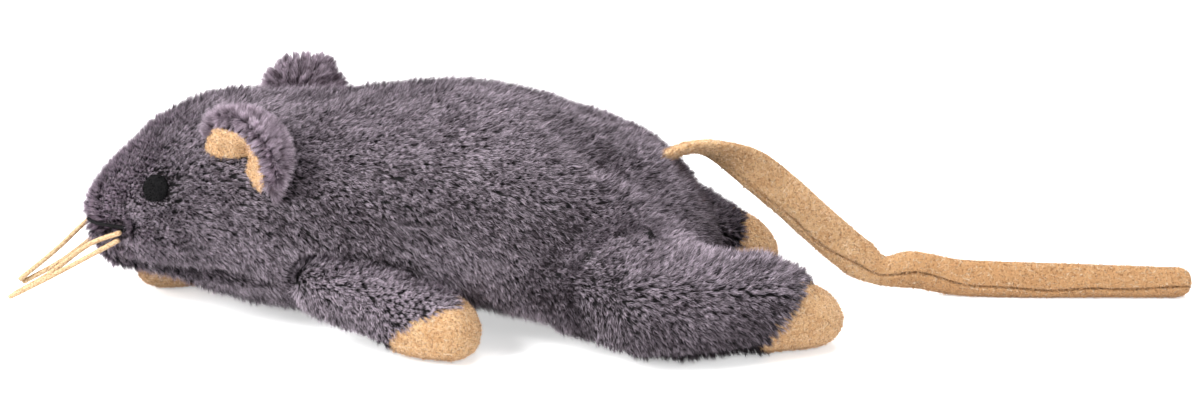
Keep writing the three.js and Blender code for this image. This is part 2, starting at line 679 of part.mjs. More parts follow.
let hollows = FLOOR;
for (const seat of SEATS) {
  hollows = hollows.add(seat);
}
for (const [word, side] of [
  ["left", -1],
  ["right", 1],
]) {
  mouse.add(meshFrom(`${word}_eye`, eyeSolid(side, EYE_RADIUS, EYE_THICK, EYE_SUNK), felt()));
  hollows = hollows.add(eyeSolid(side, EYE_RADIUS + GAP, 2 * EYE_THICK, EYE_SUNK + GAP));
}

const shell = outer.subtract(cavity).subtract(hollows);
const top = Math.PI / 2;
const leftSeam = -SEAM_BELOW_SIDE;
const rightSeam = Math.PI + SEAM_BELOW_SIDE;
mouse.add(meshFrom("left_side_panel", shell.intersect(wedge(leftSeam, top)), plush()));
mouse.add(meshFrom("right_side_panel", shell.intersect(wedge(top, rightSeam)), plush()));
mouse.add(meshFrom("belly_panel", shell.intersect(wedge(rightSeam, 2 * Math.PI + leftSeam)), plush()));

const sachetCentre = new THREE.Vector3(SACHET_X, spineSide(SACHET_X), SACHET_HEIGHT);
const pillow = (depth) => ballSolid(sachetCentre, SACHET_RADII.clone().subScalar(depth), SACHET_FACETS);
const filling = stuffed.subtract(hollows).subtract(pillow(-GAP));
const halfGap = GAP / 2;
const wholeSpace = (low, high) => boxSolid(new THREE.Vector3(...low), new THREE.Vector3(...high));
const ahead = wholeSpace([-FAR, -FAR, -FAR], [SACHET_X - halfGap, FAR, FAR]);
const behind = wholeSpace([SACHET_X + halfGap, -FAR, -FAR], [FAR, FAR, FAR]);
mouse.add(meshFrom("front_stuffing", filling.intersect(ahead), fibre()));
mouse.add(meshFrom("rear_stuffing", filling.intersect(behind), fibre()));

const pouch = pillow(0).subtract(pillow(SACHET_CLOTH));
const over = wholeSpace([-FAR, -FAR, SACHET_HEIGHT + halfGap], [FAR, FAR, FAR]);
const under = wholeSpace([-FAR, -FAR, -FAR], [FAR, FAR, SACHET_HEIGHT - halfGap]);
mouse.add(meshFrom("sachet_top", pouch.intersect(over), cotton()));
mouse.add(meshFrom("sachet_bottom", pouch.intersect(under), cotton()));
mouse.add(meshFrom("catnip_fill", pillow(SACHET_CLOTH + GAP), herb()));

for (const [name, route] of Object.entries(WHISKER_ROUTES)) {
  mouse.add(whisker(name, route));
}

export default mouse;
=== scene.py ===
"""A stuffed catnip mouse of plush and suede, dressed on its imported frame."""

import json
import logging
import math
from dataclasses import dataclass, replace
from enum import Enum
from typing import Any, Callable, Sequence

import bmesh
import bpy
import numpy as np
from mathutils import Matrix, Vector
from mathutils.bvhtree import BVHTree


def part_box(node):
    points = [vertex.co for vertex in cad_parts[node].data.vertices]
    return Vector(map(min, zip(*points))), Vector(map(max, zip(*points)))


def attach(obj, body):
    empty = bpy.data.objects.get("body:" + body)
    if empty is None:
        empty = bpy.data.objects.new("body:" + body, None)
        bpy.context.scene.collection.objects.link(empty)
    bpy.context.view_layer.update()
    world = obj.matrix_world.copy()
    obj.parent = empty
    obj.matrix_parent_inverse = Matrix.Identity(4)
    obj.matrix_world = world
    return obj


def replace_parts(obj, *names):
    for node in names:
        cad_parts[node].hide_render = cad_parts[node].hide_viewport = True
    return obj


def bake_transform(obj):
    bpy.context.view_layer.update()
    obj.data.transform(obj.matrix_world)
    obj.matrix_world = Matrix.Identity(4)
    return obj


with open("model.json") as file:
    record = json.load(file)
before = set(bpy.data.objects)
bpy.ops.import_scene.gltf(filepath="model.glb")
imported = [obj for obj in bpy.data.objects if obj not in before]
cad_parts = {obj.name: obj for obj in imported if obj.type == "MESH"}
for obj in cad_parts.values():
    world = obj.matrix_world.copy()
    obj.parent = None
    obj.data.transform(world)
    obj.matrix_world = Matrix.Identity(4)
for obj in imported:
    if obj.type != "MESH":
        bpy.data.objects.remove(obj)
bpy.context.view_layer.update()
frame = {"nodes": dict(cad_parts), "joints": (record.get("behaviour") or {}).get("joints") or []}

MM = 0.001
BAKE_MAP = "OFBake"
STRAND = "strand"
CLOTH_FRAMES = 20
TONES = 24  # shades of pile that one finish holds, side by side on its map
LOG = logging.getLogger("catnip_mouse")

Place = tuple[float, float, float]


class Side(Enum):
    """The two sides of the mouse, by where they lie along Y."""

    LEFT = -1
    RIGHT = 1

    @property
    def word(self) -> str:
        """The side's word in node and piece names."""
        return self.name.lower()


def linear(red: int, green: int, blue: int) -> tuple[float, float, float, float]:
    """Turns a colour as seen on a screen into the one that a shader takes.

    Args:
        red: Red, 0 to 255.
        green: Green, 0 to 255.
        blue: Blue, 0 to 255.

    Returns:
        Linear red, green and blue, and a full alpha.
    """
    parts = [value / 255 for value in (red, green, blue)]
    bright = [p / 12.92 if p <= 0.04045 else ((p + 0.055) / 1.055) ** 2.4 for p in parts]
    return (bright[0], bright[1], bright[2], 1.0)


def smooth(value: Any, low: float, high: float) -> Any:
    """A smooth step from 0 at low to 1 at high, for numbers and arrays alike."""
    share = np.clip((value - low) / (high - low), 0.0, 1.0)
    return share * share * (3 - 2 * share)


def fade(value: Any, low: float, high: float) -> Any:
    """A smooth step the other way, from 1 at low to 0 at high."""
    return 1 - smooth(value, low, high)


# Node trees


def operator(operation: str, swapped: bool = False) -> Callable[["Wire", Any], "Wire"]:
    """Makes a method of Wire that adds a Math node.

    Args:
        operation: What the node does.
        swapped: Whether the wire comes second, as it does after a plain number.

    Returns:
        The method.
    """

    def method(wire: "Wire", other: Any) -> "Wire":
        """Adds the node."""
        return wire.net.math(operation, *((other, wire) if swapped else (wire, other)))

    return method


class Wire:
    """An output socket; arithmetic on it adds Math nodes to its tree."""

    __add__, __radd__ = operator("ADD"), operator("ADD", swapped=True)
    __sub__, __rsub__ = operator("SUBTRACT"), operator("SUBTRACT", swapped=True)
    __mul__, __rmul__ = operator("MULTIPLY"), operator("MULTIPLY", swapped=True)
    __truediv__, __rtruediv__ = operator("DIVIDE"), operator("DIVIDE", swapped=True)
    __pow__ = operator("POWER")

    def __init__(self, net: "Net", socket: bpy.types.NodeSocket) -> None:
        """Keeps the socket and the tree that it is in."""
        self.net = net
        self.socket = socket

    def floor(self) -> "Wire":
        """Rounds down."""
        return self.net.math("FLOOR", self, 0.0)

    def held(self, low: float, high: float) -> "Wire":
        """Keeps the value between two limits."""
        return self.net.math("MINIMUM", self.net.math("MAXIMUM", self, low), high)

    def step(self, low: float, high: float) -> "Wire":
        """A smooth step from 0 at low to 1 at high."""
        sockets = {"Value": self, "From Min": low, "From Max": high}
        return self.net.made("ShaderNodeMapRange", {"interpolation_type": "SMOOTHSTEP"}, sockets, "Result")


class Net:
    """A node tree that is built by expressions."""

    def __init__(self, tree: bpy.types.NodeTree) -> None:
        """Keeps the tree."""
        self.tree = tree

    def add(
        self, kind: str, settings: dict[str, Any] | None = None, sockets: dict[Any, Any] | None = None
    ) -> bpy.types.Node:
        """Adds a node.

        Args:
            kind: The node's type.
            settings: Its own settings, which are set first.
            sockets: Values or wires for its inputs, by name or number.

        Returns:
            The node.
        """
        node = self.tree.nodes.new(kind)
        for name, value in (settings or {}).items():
            setattr(node, name, value)
        for name, value in (sockets or {}).items():
            self.feed(self.find(node.inputs, name), value)
        return node

    @staticmethod
    def find(sockets: Any, name: Any) -> bpy.types.NodeSocket:
        """The socket in use that has a name or number."""
        if isinstance(name, int):
            return sockets[name]
        return next(s for s in sockets if s.enabled and s.name == name)

    def feed(self, socket: bpy.types.NodeSocket, value: Any) -> None:
        """Links a wire to a socket, or sets its value."""
        if isinstance(value, Wire):
            self.tree.links.new(value.socket, socket)
        else:
            socket.default_value = value

    def out(self, node: bpy.types.Node, name: Any = 0) -> Wire:
        """A node's output, as a wire."""
        return Wire(self, self.find(node.outputs, name))

    def made(self, kind: str, settings: dict[str, Any], sockets: dict[Any, Any], name: Any = 0) -> Wire:
        """An output of a new node, as a wire."""
        return self.out(self.add(kind, settings, sockets), name)

    def math(self, operation: str, first: Any, second: Any) -> Wire:
        """The result of a Math node."""
        return self.made("ShaderNodeMath", {"operation": operation}, {0: first, 1: second})

    def vector(self, operation: str, first: Any, second: Any = None, scale: Any = None) -> Wire:
        """The result of a Vector Math node.

        Args:
            operation: What it does.
            first: The first vector.
            second: The second vector, where it takes one.
            scale: The number, where it takes one.

        Returns:
            The vector, or the number for a length or a dot product.
        """
        sockets = {0: first}
        if second is not None:
            sockets[1] = second
        if scale is not None:
            sockets["Scale"] = scale
        name = "Value" if operation in ("LENGTH", "DOT_PRODUCT") else "Vector"
        return self.made("ShaderNodeVectorMath", {"operation": operation}, sockets, name)

    def mix(self, share: Any, first: Any, second: Any) -> Wire:
        """The colour that a Mix node gives."""
        sockets = {"Factor": share, "A": first, "B": second}
        return self.made("ShaderNodeMix", {"data_type": "RGBA", "blend_type": "MIX"}, sockets, "Result")

    def seen(self) -> Wire:
        """1 for what the eye sees, straight or by a mirror or glass, and 0 for light on its way to the mouse."""
        path = self.add("ShaderNodeLightPath")
        camera, glossy, through = (self.out(path, f"Is {kind} Ray") for kind in ("Camera", "Glossy", "Transmission"))
        return self.math("MAXIMUM", self.math("MAXIMUM", camera, glossy), through)

    def noise(self, place: Wire, size: float, detail: float = 2.0) -> Wire:
        """Soft noise over a place.

        Args:
            place: Where, in metres.
            size: How big its blotches are, in metres.
            detail: How much finer noise is on it.

        Returns:
            The noise, about 0.5.
        """
        return self.made("ShaderNodeTexNoise", {}, {"Vector": place, "Scale": 1 / size, "Detail": detail})


# Finishes


@dataclass(frozen=True)
class Finish:
    """What every finish has: its name, how rough it is and how much it has of a cloth's sheen."""

    name: str
    roughness: float = 0.9
    sheen: float = 0.0
    specular: float = 0.25

    def material(self) -> bpy.types.Material:
        """The finish as a material, made once."""
        found = bpy.data.materials.get(self.name)
        return found or self.make()

    def make(self) -> bpy.types.Material:
        """Makes the material and its shader."""
        material = bpy.data.materials.new(self.name)
        material.use_nodes = True
        net = Net(material.node_tree)
        shader = material.node_tree.nodes["Principled BSDF"]
        shader.inputs["Roughness"].default_value = self.roughness
        shader.inputs["Specular IOR Level"].default_value = self.specular
        shader.inputs["Sheen Weight"].default_value = self.sheen
        shader.inputs["Sheen Roughness"].default_value = 0.5
        self.dress(net, shader)
        return material

    def dress(self, net: Net, shader: bpy.types.Node) -> None:
        """Adds what varies over the surface; each finish has its own."""

    @staticmethod
    def place(net: Net) -> Wire:
        """Where a point is on the object, in metres."""
        return net.made("ShaderNodeTexCoord", {}, {}, "Object")

    @staticmethod
    def bump(net: Net, shader: bpy.types.Node, height: Wire, depth: float) -> None:
        """Gives the shader a bump.

        Args:
            net: The tree.
            shader: The shader.
            height: The bump's height, 0 to 1.
            depth: How deep that is, in metres.
        """
        sockets = {"Height": height, "Distance": depth, "Strength": 1.0}
        net.feed(shader.inputs["Normal"], net.made("ShaderNodeBump", {}, sockets, "Normal"))


@dataclass(frozen=True)
class PileFinish(Finish):
    """Pile: its colour goes from a dark root, painted shade deep in the pile, to its tip, in many shades that lie
    side by side on its map.
    """

    root: tuple = linear(10, 7, 9)
    dark: tuple = linear(52, 41, 48)
    light: tuple = linear(236, 219, 234)
    # the dark root is painted shade, for the shadow down between the strands
    root_dark: float = 0.34  # how far up a strand is as dark as its root
    root_reach: float = 1.0  # and how far up it is darker than its tip

    def dress(self, net: Net, shader: bpy.types.Node) -> None:
        """Colours strands by their shade and by how far up a point is."""
        where = net.made("ShaderNodeUVMap", {"uv_map": BAKE_MAP}, {}, "UV")
        parts = net.add("ShaderNodeSeparateXYZ", {}, {"Vector": where})
        tone = (net.out(parts, "X") * TONES).floor() / (TONES - 1)
        tip = net.mix(tone, self.dark, self.light)
        rise = net.out(parts, "Y").step(self.root_dark, self.root_reach)
        net.feed(shader.inputs["Base Color"], net.mix(rise, self.root, tip))


@dataclass(frozen=True)
class SuedeFinish(Finish):
    """Tan suede cloth: a short brushed nap, with dark specks and pale fibres."""

    colour: tuple = linear(215, 179, 136)
    shade: tuple = linear(186, 144, 100)
    speck: tuple = linear(104, 64, 34)
    fibre: tuple = linear(252, 230, 200)
    grain: float = 1.0 * MM

    def dress(self, net: Net, shader: bpy.types.Node) -> None:
        """Brushes the nap, strews specks and fibres over it, darkens it by painted shade where the mesh carries
        some, and gives it a grain.
        """
        place = self.place(net)
        cloud = net.noise(place, 6 * self.grain, 3.0)
        nap = net.noise(place, self.grain, 4.0)
        fine = net.noise(place, 0.55 * self.grain, 2.0)
        sockets = {"Vector": place, "Scale": 1 / (1.5 * self.grain), "Randomness": 1.0}
        worm = net.made("ShaderNodeTexVoronoi", {"feature": "DISTANCE_TO_EDGE"}, sockets, "Distance")
        fibres = (1 - worm.step(0.0, 0.09)) * nap.step(0.45, 0.62)
        specks = (1 - fine.step(0.38, 0.46)) * (1 - fibres)
        # painted shade: where a mesh carries it, the base turns to the shade colour and then towards the speck
        # colour
        worn = net.made("ShaderNodeAttribute", {"attribute_name": "worn"}, {}, "Fac")
        base = net.mix((cloud * 0.4 + nap * 0.6).step(0.36, 0.6) * (1 - worn), self.shade, self.colour)
        base = net.mix(worn * 0.16, base, self.speck)
        pale = net.mix(fibres * 0.6, base, self.fibre)
        net.feed(shader.inputs["Base Color"], net.mix(specks * 0.6, pale, self.speck))
        self.bump(net, shader, nap * 0.6 + fine * 0.5 + fibres * 0.25, 0.9 * MM)


@dataclass(frozen=True)
class MottledFinish(Finish):
    """Knitted backing, cord, felt, fibre, cotton or dried leaf: two colours in blotches, with a bump."""

    colour: tuple = linear(22, 21, 22)
    shade: tuple = linear(8, 8, 9)
    blotch: float = 0.6 * MM
    detail: float = 4.0  # how much finer noise is on the blotches
    clear: tuple[float, float] = (0.35, 0.65)  # from where to where the noise turns shade into colour
    grain: float = 0.0  # the size of the bump's own noise; without one it is the blotches that stand out
    relief: float = 0.25 * MM

    def dress(self, net: Net, shader: bpy.types.Node) -> None:
        """Mottles the surface and roughens it."""
        place = self.place(net)
        blotches = net.noise(place, self.blotch, self.detail)
        net.feed(shader.inputs["Base Color"], net.mix(blotches.step(*self.clear), self.shade, self.colour))
        self.bump(net, shader, net.noise(place, self.grain) if self.grain else blotches, self.relief)


PLUSH_PILE = PileFinish("slate_plush_pile", roughness=0.62, specular=0.3)
EAR_PILE = replace(
    PLUSH_PILE,
    name="pale_plush_pile",
    root=linear(74, 62, 69),
    dark=linear(84, 70, 78),
    root_dark=0.0,
    root_reach=0.8,
)
PLUSH_BACKING = MottledFinish(
    "slate_plush_backing",
    colour=linear(40, 33, 37),
    shade=linear(20, 16, 18),
    blotch=1.2 * MM,
    detail=3.0,
    grain=0.5 * MM,
    relief=0.3 * MM,
)
EAR_BACKING = replace(
    PLUSH_BACKING, name="pale_plush_backing", colour=linear(92, 78, 86), shade=linear(66, 54, 61)
)
SUEDE = SuedeFinish("tan_suede", roughness=0.95, sheen=0.15, specular=0.12)
SUEDE_NAP = PileFinish(
    "tan_suede_nap",
    roughness=0.9,
    specular=0.1,
    root=linear(176, 134, 94),
    dark=linear(196, 152, 108),
    light=linear(244, 214, 178),
    root_dark=0.0,
    root_reach=0.5,
)
WAXED_CORD = MottledFinish(
    "waxed_cord",
    roughness=0.6,
    specular=0.4,
    colour=linear(204, 175, 136),
    shade=linear(152, 114, 76),
    blotch=0.35 * MM,
    detail=3.0,
    clear=(0.34, 0.56),
    grain=0.2 * MM,
    relief=0.12 * MM,
)
FELT = MottledFinish("black_felt", roughness=0.95, specular=0.15)
FELT_NAP = PileFinish(
    "black_felt_nap",
    roughness=0.9,
    specular=0.1,
    root=linear(6, 6, 7),
    dark=linear(10, 10, 11),
    light=linear(34, 33, 35),
    root_dark=0.0,
)
FIBRE = MottledFinish(
    "stuffing_fibre", colour=linear(240, 238, 234), shade=linear(206, 204, 200), blotch=3 * MM, relief=1 * MM
)
COTTON = MottledFinish(
    "sachet_cotton", colour=linear(226, 216, 196), shade=linear(196, 184, 162), blotch=0.8 * MM, relief=0.2 * MM
)
HERB = MottledFinish(
    "dried_catnip", colour=linear(132, 138, 84), shade=linear(74, 82, 46), blotch=2 * MM, relief=1.2 * MM
)


# Meshes


def dress(obj: bpy.types.Object, finish: Finish) -> bpy.types.Object:
    """Gives an object one finish, in place of any that it has."""
    obj.data.materials.clear()
    obj.data.materials.append(finish.material())
    return obj


def show(name: str, mesh: bpy.types.Mesh, finish: Finish | None = None) -> bpy.types.Object:
    """Puts a mesh into the scene as an object of its own."""
    obj = bpy.data.objects.new(name, mesh)
    bpy.context.scene.collection.objects.link(obj)
    return dress(obj, finish) if finish else obj


def mesh_from(name: str, build: bmesh.types.BMesh, shaded: bool = True) -> bpy.types.Mesh:
    """Turns a bmesh into a mesh, and frees it.

    Args:
        name: The mesh's name.
        build: The bmesh.
        shaded: Whether its faces are shaded smooth.

    Returns:
        The mesh.
    """
    for face in build.faces:
        face.smooth = shaded
    mesh = bpy.data.meshes.new(name)
    build.to_mesh(mesh)
    build.free()
    return mesh


Shape = str | bpy.types.Mesh  # a CAD node's name, or a mesh


def gathered(shapes: Sequence[Shape]) -> bmesh.types.BMesh:
    """Copies shapes into one new bmesh."""
    build = bmesh.new()
    for shape in shapes:
        build.from_mesh(frame["nodes"][shape].data if isinstance(shape, str) else shape)
    return build


def solid_copy(name: str, shapes: Sequence[Shape]) -> bpy.types.Object:
    """Copies shapes into one new object, with their loose triangles joined up."""
    build = gathered(shapes)
    bmesh.ops.remove_doubles(build, verts=build.verts, dist=1e-6)
    return show(name, mesh_from(name, build))


def hull(nodes: Sequence[str]) -> bpy.types.Mesh:
    """The hull of CAD nodes: their shape without the hollows that the body pressed into them."""
    build = gathered(nodes)
    corners = [vert.co.copy() for vert in build.verts]
    build.clear()
    for corner in corners:
        build.verts.new(corner)
    found = bmesh.ops.convex_hull(build, input=build.verts)
    left_over = {*found["geom_interior"], *found["geom_unused"]}
    spare = [item for item in left_over if isinstance(item, bmesh.types.BMVert)]
    bmesh.ops.delete(build, geom=spare, context="VERTS")
    return mesh_from(f"{nodes[0]}_hull", build)


def middle_of(node: str) -> np.ndarray:
    """The middle of a CAD node's box."""
    low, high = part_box(node)
    return np.array((low + high) / 2)


def joint_of(body: str) -> dict[str, Any]:
    """The joint that a body hangs on."""
    return next(joint for joint in frame["joints"] if joint["child"] == body)


def applied(obj: bpy.types.Object) -> bpy.types.Object:
    """Bakes an object's modifiers into its mesh."""
    graph = bpy.context.evaluated_depsgraph_get()
    old = obj.data
    obj.data = bpy.data.meshes.new_from_object(obj.evaluated_get(graph))
    obj.modifiers.clear()
    bpy.data.meshes.remove(old)
    return obj


def points_of(mesh: bpy.types.Mesh) -> np.ndarray:
    """A mesh's points, in rows."""
    flat = np.empty(len(mesh.vertices) * 3, np.float32)
    mesh.vertices.foreach_get("co", flat)
    return flat.reshape(-1, 3).astype(float)


def normals_of(mesh: bpy.types.Mesh) -> np.ndarray:
    """A mesh's normals at its points, in rows."""
    flat = np.empty(len(mesh.vertices) * 3, np.float32)
    mesh.vertex_normals.foreach_get("vector", flat)
    return flat.reshape(-1, 3).astype(float)


def put_points(mesh: bpy.types.Mesh, points: np.ndarray) -> None:
    """Moves a mesh's points."""
    mesh.vertices.foreach_set("co", points.astype(np.float32).ravel())
    mesh.update()


def distances(points: np.ndarray, shapes: Sequence[Shape]) -> np.ndarray:
    """How far points are from the surface of shapes.

    Args:
        points: The points, in rows.
        shapes: The shapes.

    Returns:
        A distance for each point, in metres.
    """
    build = gathered(shapes)
    tree = BVHTree.FromBMesh(build)
    build.free()
    return np.array([tree.find_nearest(Vector(point))[3] for point in points])


def remeshed(obj: bpy.types.Object, voxel: float, rounds: int) -> bpy.types.Object:
    """Makes one even skin round an object's solids.

    Args:
        obj: The object.
        voxel: The size of the skin's faces.
        rounds: How often it is evened out.

    Returns:
        The object.
    """
    remesh = obj.modifiers.new("skin", "REMESH")
    remesh.mode = "VOXEL"
    remesh.voxel_size = voxel
    remesh.use_smooth_shade = True
    outer_shell(applied(obj))
    relax(obj.data, rounds)
    return obj


def neighbour_mean(mesh: bpy.types.Mesh) -> Callable[[np.ndarray], np.ndarray]:
    """What turns vectors at a mesh's points into the mean of each point's neighbours."""
    pairs = np.empty(len(mesh.edges) * 2, np.int32)
    mesh.edges.foreach_get("vertices", pairs)
    first, second = pairs.reshape(-1, 2).T
    size = len(mesh.vertices)
    count = np.maximum(np.bincount(pairs, minlength=size), 1)[:, None]

    def mean(values: np.ndarray) -> np.ndarray:
        """The mean of each point's neighbours."""
        sums = [
            np.bincount(first, values[second, axis], size) + np.bincount(second, values[first, axis], size)
            for axis in range(3)
        ]
        return np.stack(sums, axis=1) / count

    return mean


def relax(mesh: bpy.types.Mesh, rounds: int, share: Any = 1.0, fills: bool = False) -> None:
    """Evens out a mesh's points.

    Args:
        mesh: The mesh.
        rounds: How often.
        share: How much each point takes part, 0 to 1.
        fills: Whether hollows fill and bumps shrink; otherwise the mesh keeps its size.
    """
    points = points_of(mesh)
    mean = neighbour_mean(mesh)
    part = np.broadcast_to(np.asarray(share, float), len(points))[:, None]
    for pull in ((0.5,) if fills else (0.5, -0.52)) * rounds:
        points = points + pull * part * (mean(points) - points)
    put_points(mesh, points)


def outer_shell(obj: bpy.types.Object) -> bpy.types.Object:
    """Keeps the largest closed shell of an object, and drops the pockets inside it."""
    build = bmesh.new()
    build.from_mesh(obj.data)
    left = set(build.verts)
    shells = []
    while left:
        stack = [left.pop()]
        shell = set(stack)
        while stack:
            for edge in stack.pop().link_edges:
                for vert in edge.verts:
                    if vert in left:
                        left.remove(vert)
                        shell.add(vert)
                        stack.append(vert)
        shells.append(shell)
    shells.sort(key=len)
    bmesh.ops.delete(build, geom=[v for shell in shells[:-1] for v in shell], context="VERTS")
    for face in build.faces:
        face.smooth = True
    build.to_mesh(obj.data)
    build.free()
    return obj


def puffed(obj: bpy.types.Object, held: np.ndarray, cap: float) -> bpy.types.Object:
    """Swells a padded skin by a cloth simulation, while its seams hold it in.

    Args:
        obj: The skin.
        held: How firmly each point is held, 0 to 1.
        cap: How far a point may move, in metres.

    Returns:
        The skin.
    """
    group = obj.vertex_groups.new(name="held")
    for index, weight in enumerate(held):
        group.add([index], float(weight), "REPLACE")
    cloth = obj.modifiers.new("stuffing", "CLOTH")
    cloth.settings.use_pressure = True
    cloth.settings.uniform_pressure_force = 4
    cloth.settings.effector_weights.gravity = 0
    cloth.settings.vertex_group_mass = "held"
    cloth.settings.quality = 3
    cloth.settings.tension_stiffness = 5
    cloth.settings.compression_stiffness = 5
    cloth.settings.bending_stiffness = 0.2
    start = points_of(obj.data)
    scene = bpy.context.scene
    for number in range(1, CLOTH_FRAMES + 1):
        scene.frame_set(number)
    graph = bpy.context.evaluated_depsgraph_get()
    swollen = bpy.data.meshes.new_from_object(obj.evaluated_get(graph))
    moves = points_of(swollen) - start
    bpy.data.meshes.remove(swollen)
    obj.modifiers.clear()
    obj.vertex_groups.clear()
    scene.frame_set(1)
    far = np.linalg.norm(moves, axis=1, keepdims=True)
    moves *= np.minimum(1.0, cap / np.maximum(far, 1e-9))
    put_points(obj.data, start + moves)
    LOG.info("%s: swelled by %.2f mm at most", obj.name, 1000 * float(far.max()))
    return obj


def subdivided(obj: bpy.types.Object, levels: int) -> bpy.types.Object:
    """Subdivides an object smoothly, for good."""
    finer = obj.modifiers.new("finer", "SUBSURF")
    finer.levels = levels
    finer.render_levels = levels
    return applied(obj)


def paint(mesh: bpy.types.Mesh, name: str, values: np.ndarray) -> None:
    """Stores a value or a vector at each point of a mesh."""
    kind, key = ("FLOAT", "value") if values.ndim == 1 else ("FLOAT_VECTOR", "vector")
    layer = mesh.attributes.get(name) or mesh.attributes.new(name, kind, "POINT")
    layer.data.foreach_set(key, values.astype(np.float32).ravel())


def travel(line: np.ndarray) -> np.ndarray:
    """How far along a line each of its places is."""
    return np.concatenate([[0.0], np.cumsum(np.linalg.norm(np.diff(line, axis=0), axis=1))])


def tube(name: str, rings: Sequence[Sequence[np.ndarray]]) -> bpy.types.Mesh:
    """A closed mesh through rings of points, with a face at each end."""
    build = bmesh.new()
    rows = [[build.verts.new(spot) for spot in ring] for ring in rings]
    count = len(rows[0])
    for low, high in zip(rows, rows[1:]):
        for side in range(count):
            after = (side + 1) % count
            build.faces.new((low[side], low[after], high[after], high[side]))
    build.faces.new(rows[0][::-1])
    build.faces.new(rows[-1])
    bmesh.ops.recalc_face_normals(build, faces=build.faces)
    return mesh_from(name, build)


def catmull(points: Sequence[Sequence[float]], count: int) -> np.ndarray:
    """An even run of places along a smooth curve through points.

    Args:
        points: The points, in millimetres.
        count: How many places.

    Returns:
        The places, in rows, in metres.
    """
    given = np.array(points, float) * MM
    ends = np.vstack([2 * given[0] - given[1], given, 2 * given[-1] - given[-2]])
    fine = []
    for a, b, c, d in zip(ends, ends[1:], ends[2:], ends[3:]):
        steps = [max(np.linalg.norm(q - p), 1e-6) ** 0.5 for p, q in ((a, b), (b, c), (c, d))]
        knots = np.cumsum([0.0, *steps])
        for time in np.linspace(knots[1], knots[2], 40, endpoint=False):
            ab = a + (b - a) * (time - knots[0]) / (knots[1] - knots[0])
            bc = b + (c - b) * (time - knots[1]) / (knots[2] - knots[1])
            cd = c + (d - c) * (time - knots[2]) / (knots[3] - knots[2])
            abc = ab + (bc - ab) * (time - knots[0]) / (knots[2] - knots[0])
            bcd = bc + (cd - bc) * (time - knots[1]) / (knots[3] - knots[1])
            fine.append(abc + (bcd - abc) * (time - knots[1]) / (knots[2] - knots[1]))
    fine.append(given[-1])
    run = np.array(fine)
    travelled = travel(run)
    marks = np.linspace(0.0, travelled[-1], count)
    return np.stack([np.interp(marks, travelled, run[:, axis]) for axis in range(3)], axis=1)


def unit(vectors: np.ndarray) -> np.ndarray:
    """Vectors in rows, each scaled to a length of 1."""
    return vectors / np.maximum(np.linalg.norm(vectors, axis=-1, keepdims=True), 1e-9)


def combed(along: np.ndarray, normals: np.ndarray, lean: Any) -> np.ndarray:
    """Lays a direction flat on a skin, for pile to be combed by.

    Args:
        along: The direction at each point, in rows.
        normals: The skin's normals there.
        lean: How far over the pile leans, 0 to 1.

    Returns:
        A vector for each point, as long as its pile leans.
    """
    flat = along - normals * np.sum(along * normals, axis=1, keepdims=True)
    sure = smooth(np.linalg.norm(flat, axis=1), 0.0, 0.3) * np.linalg.norm(along, axis=1).clip(0, 1)
    return unit(flat) * (sure * lean)[:, None]


def cropped(obj: bpy.types.Object, kept: np.ndarray) -> bpy.types.Object:
    """Drops the points of an object that aren't kept."""
    build = bmesh.new()
    build.from_mesh(obj.data)
    build.verts.ensure_lookup_table()
    bmesh.ops.delete(build, geom=[v for v in build.verts if not kept[v.index]], context="VERTS")
    build.to_mesh(obj.data)
    build.free()
    return obj


# Pile


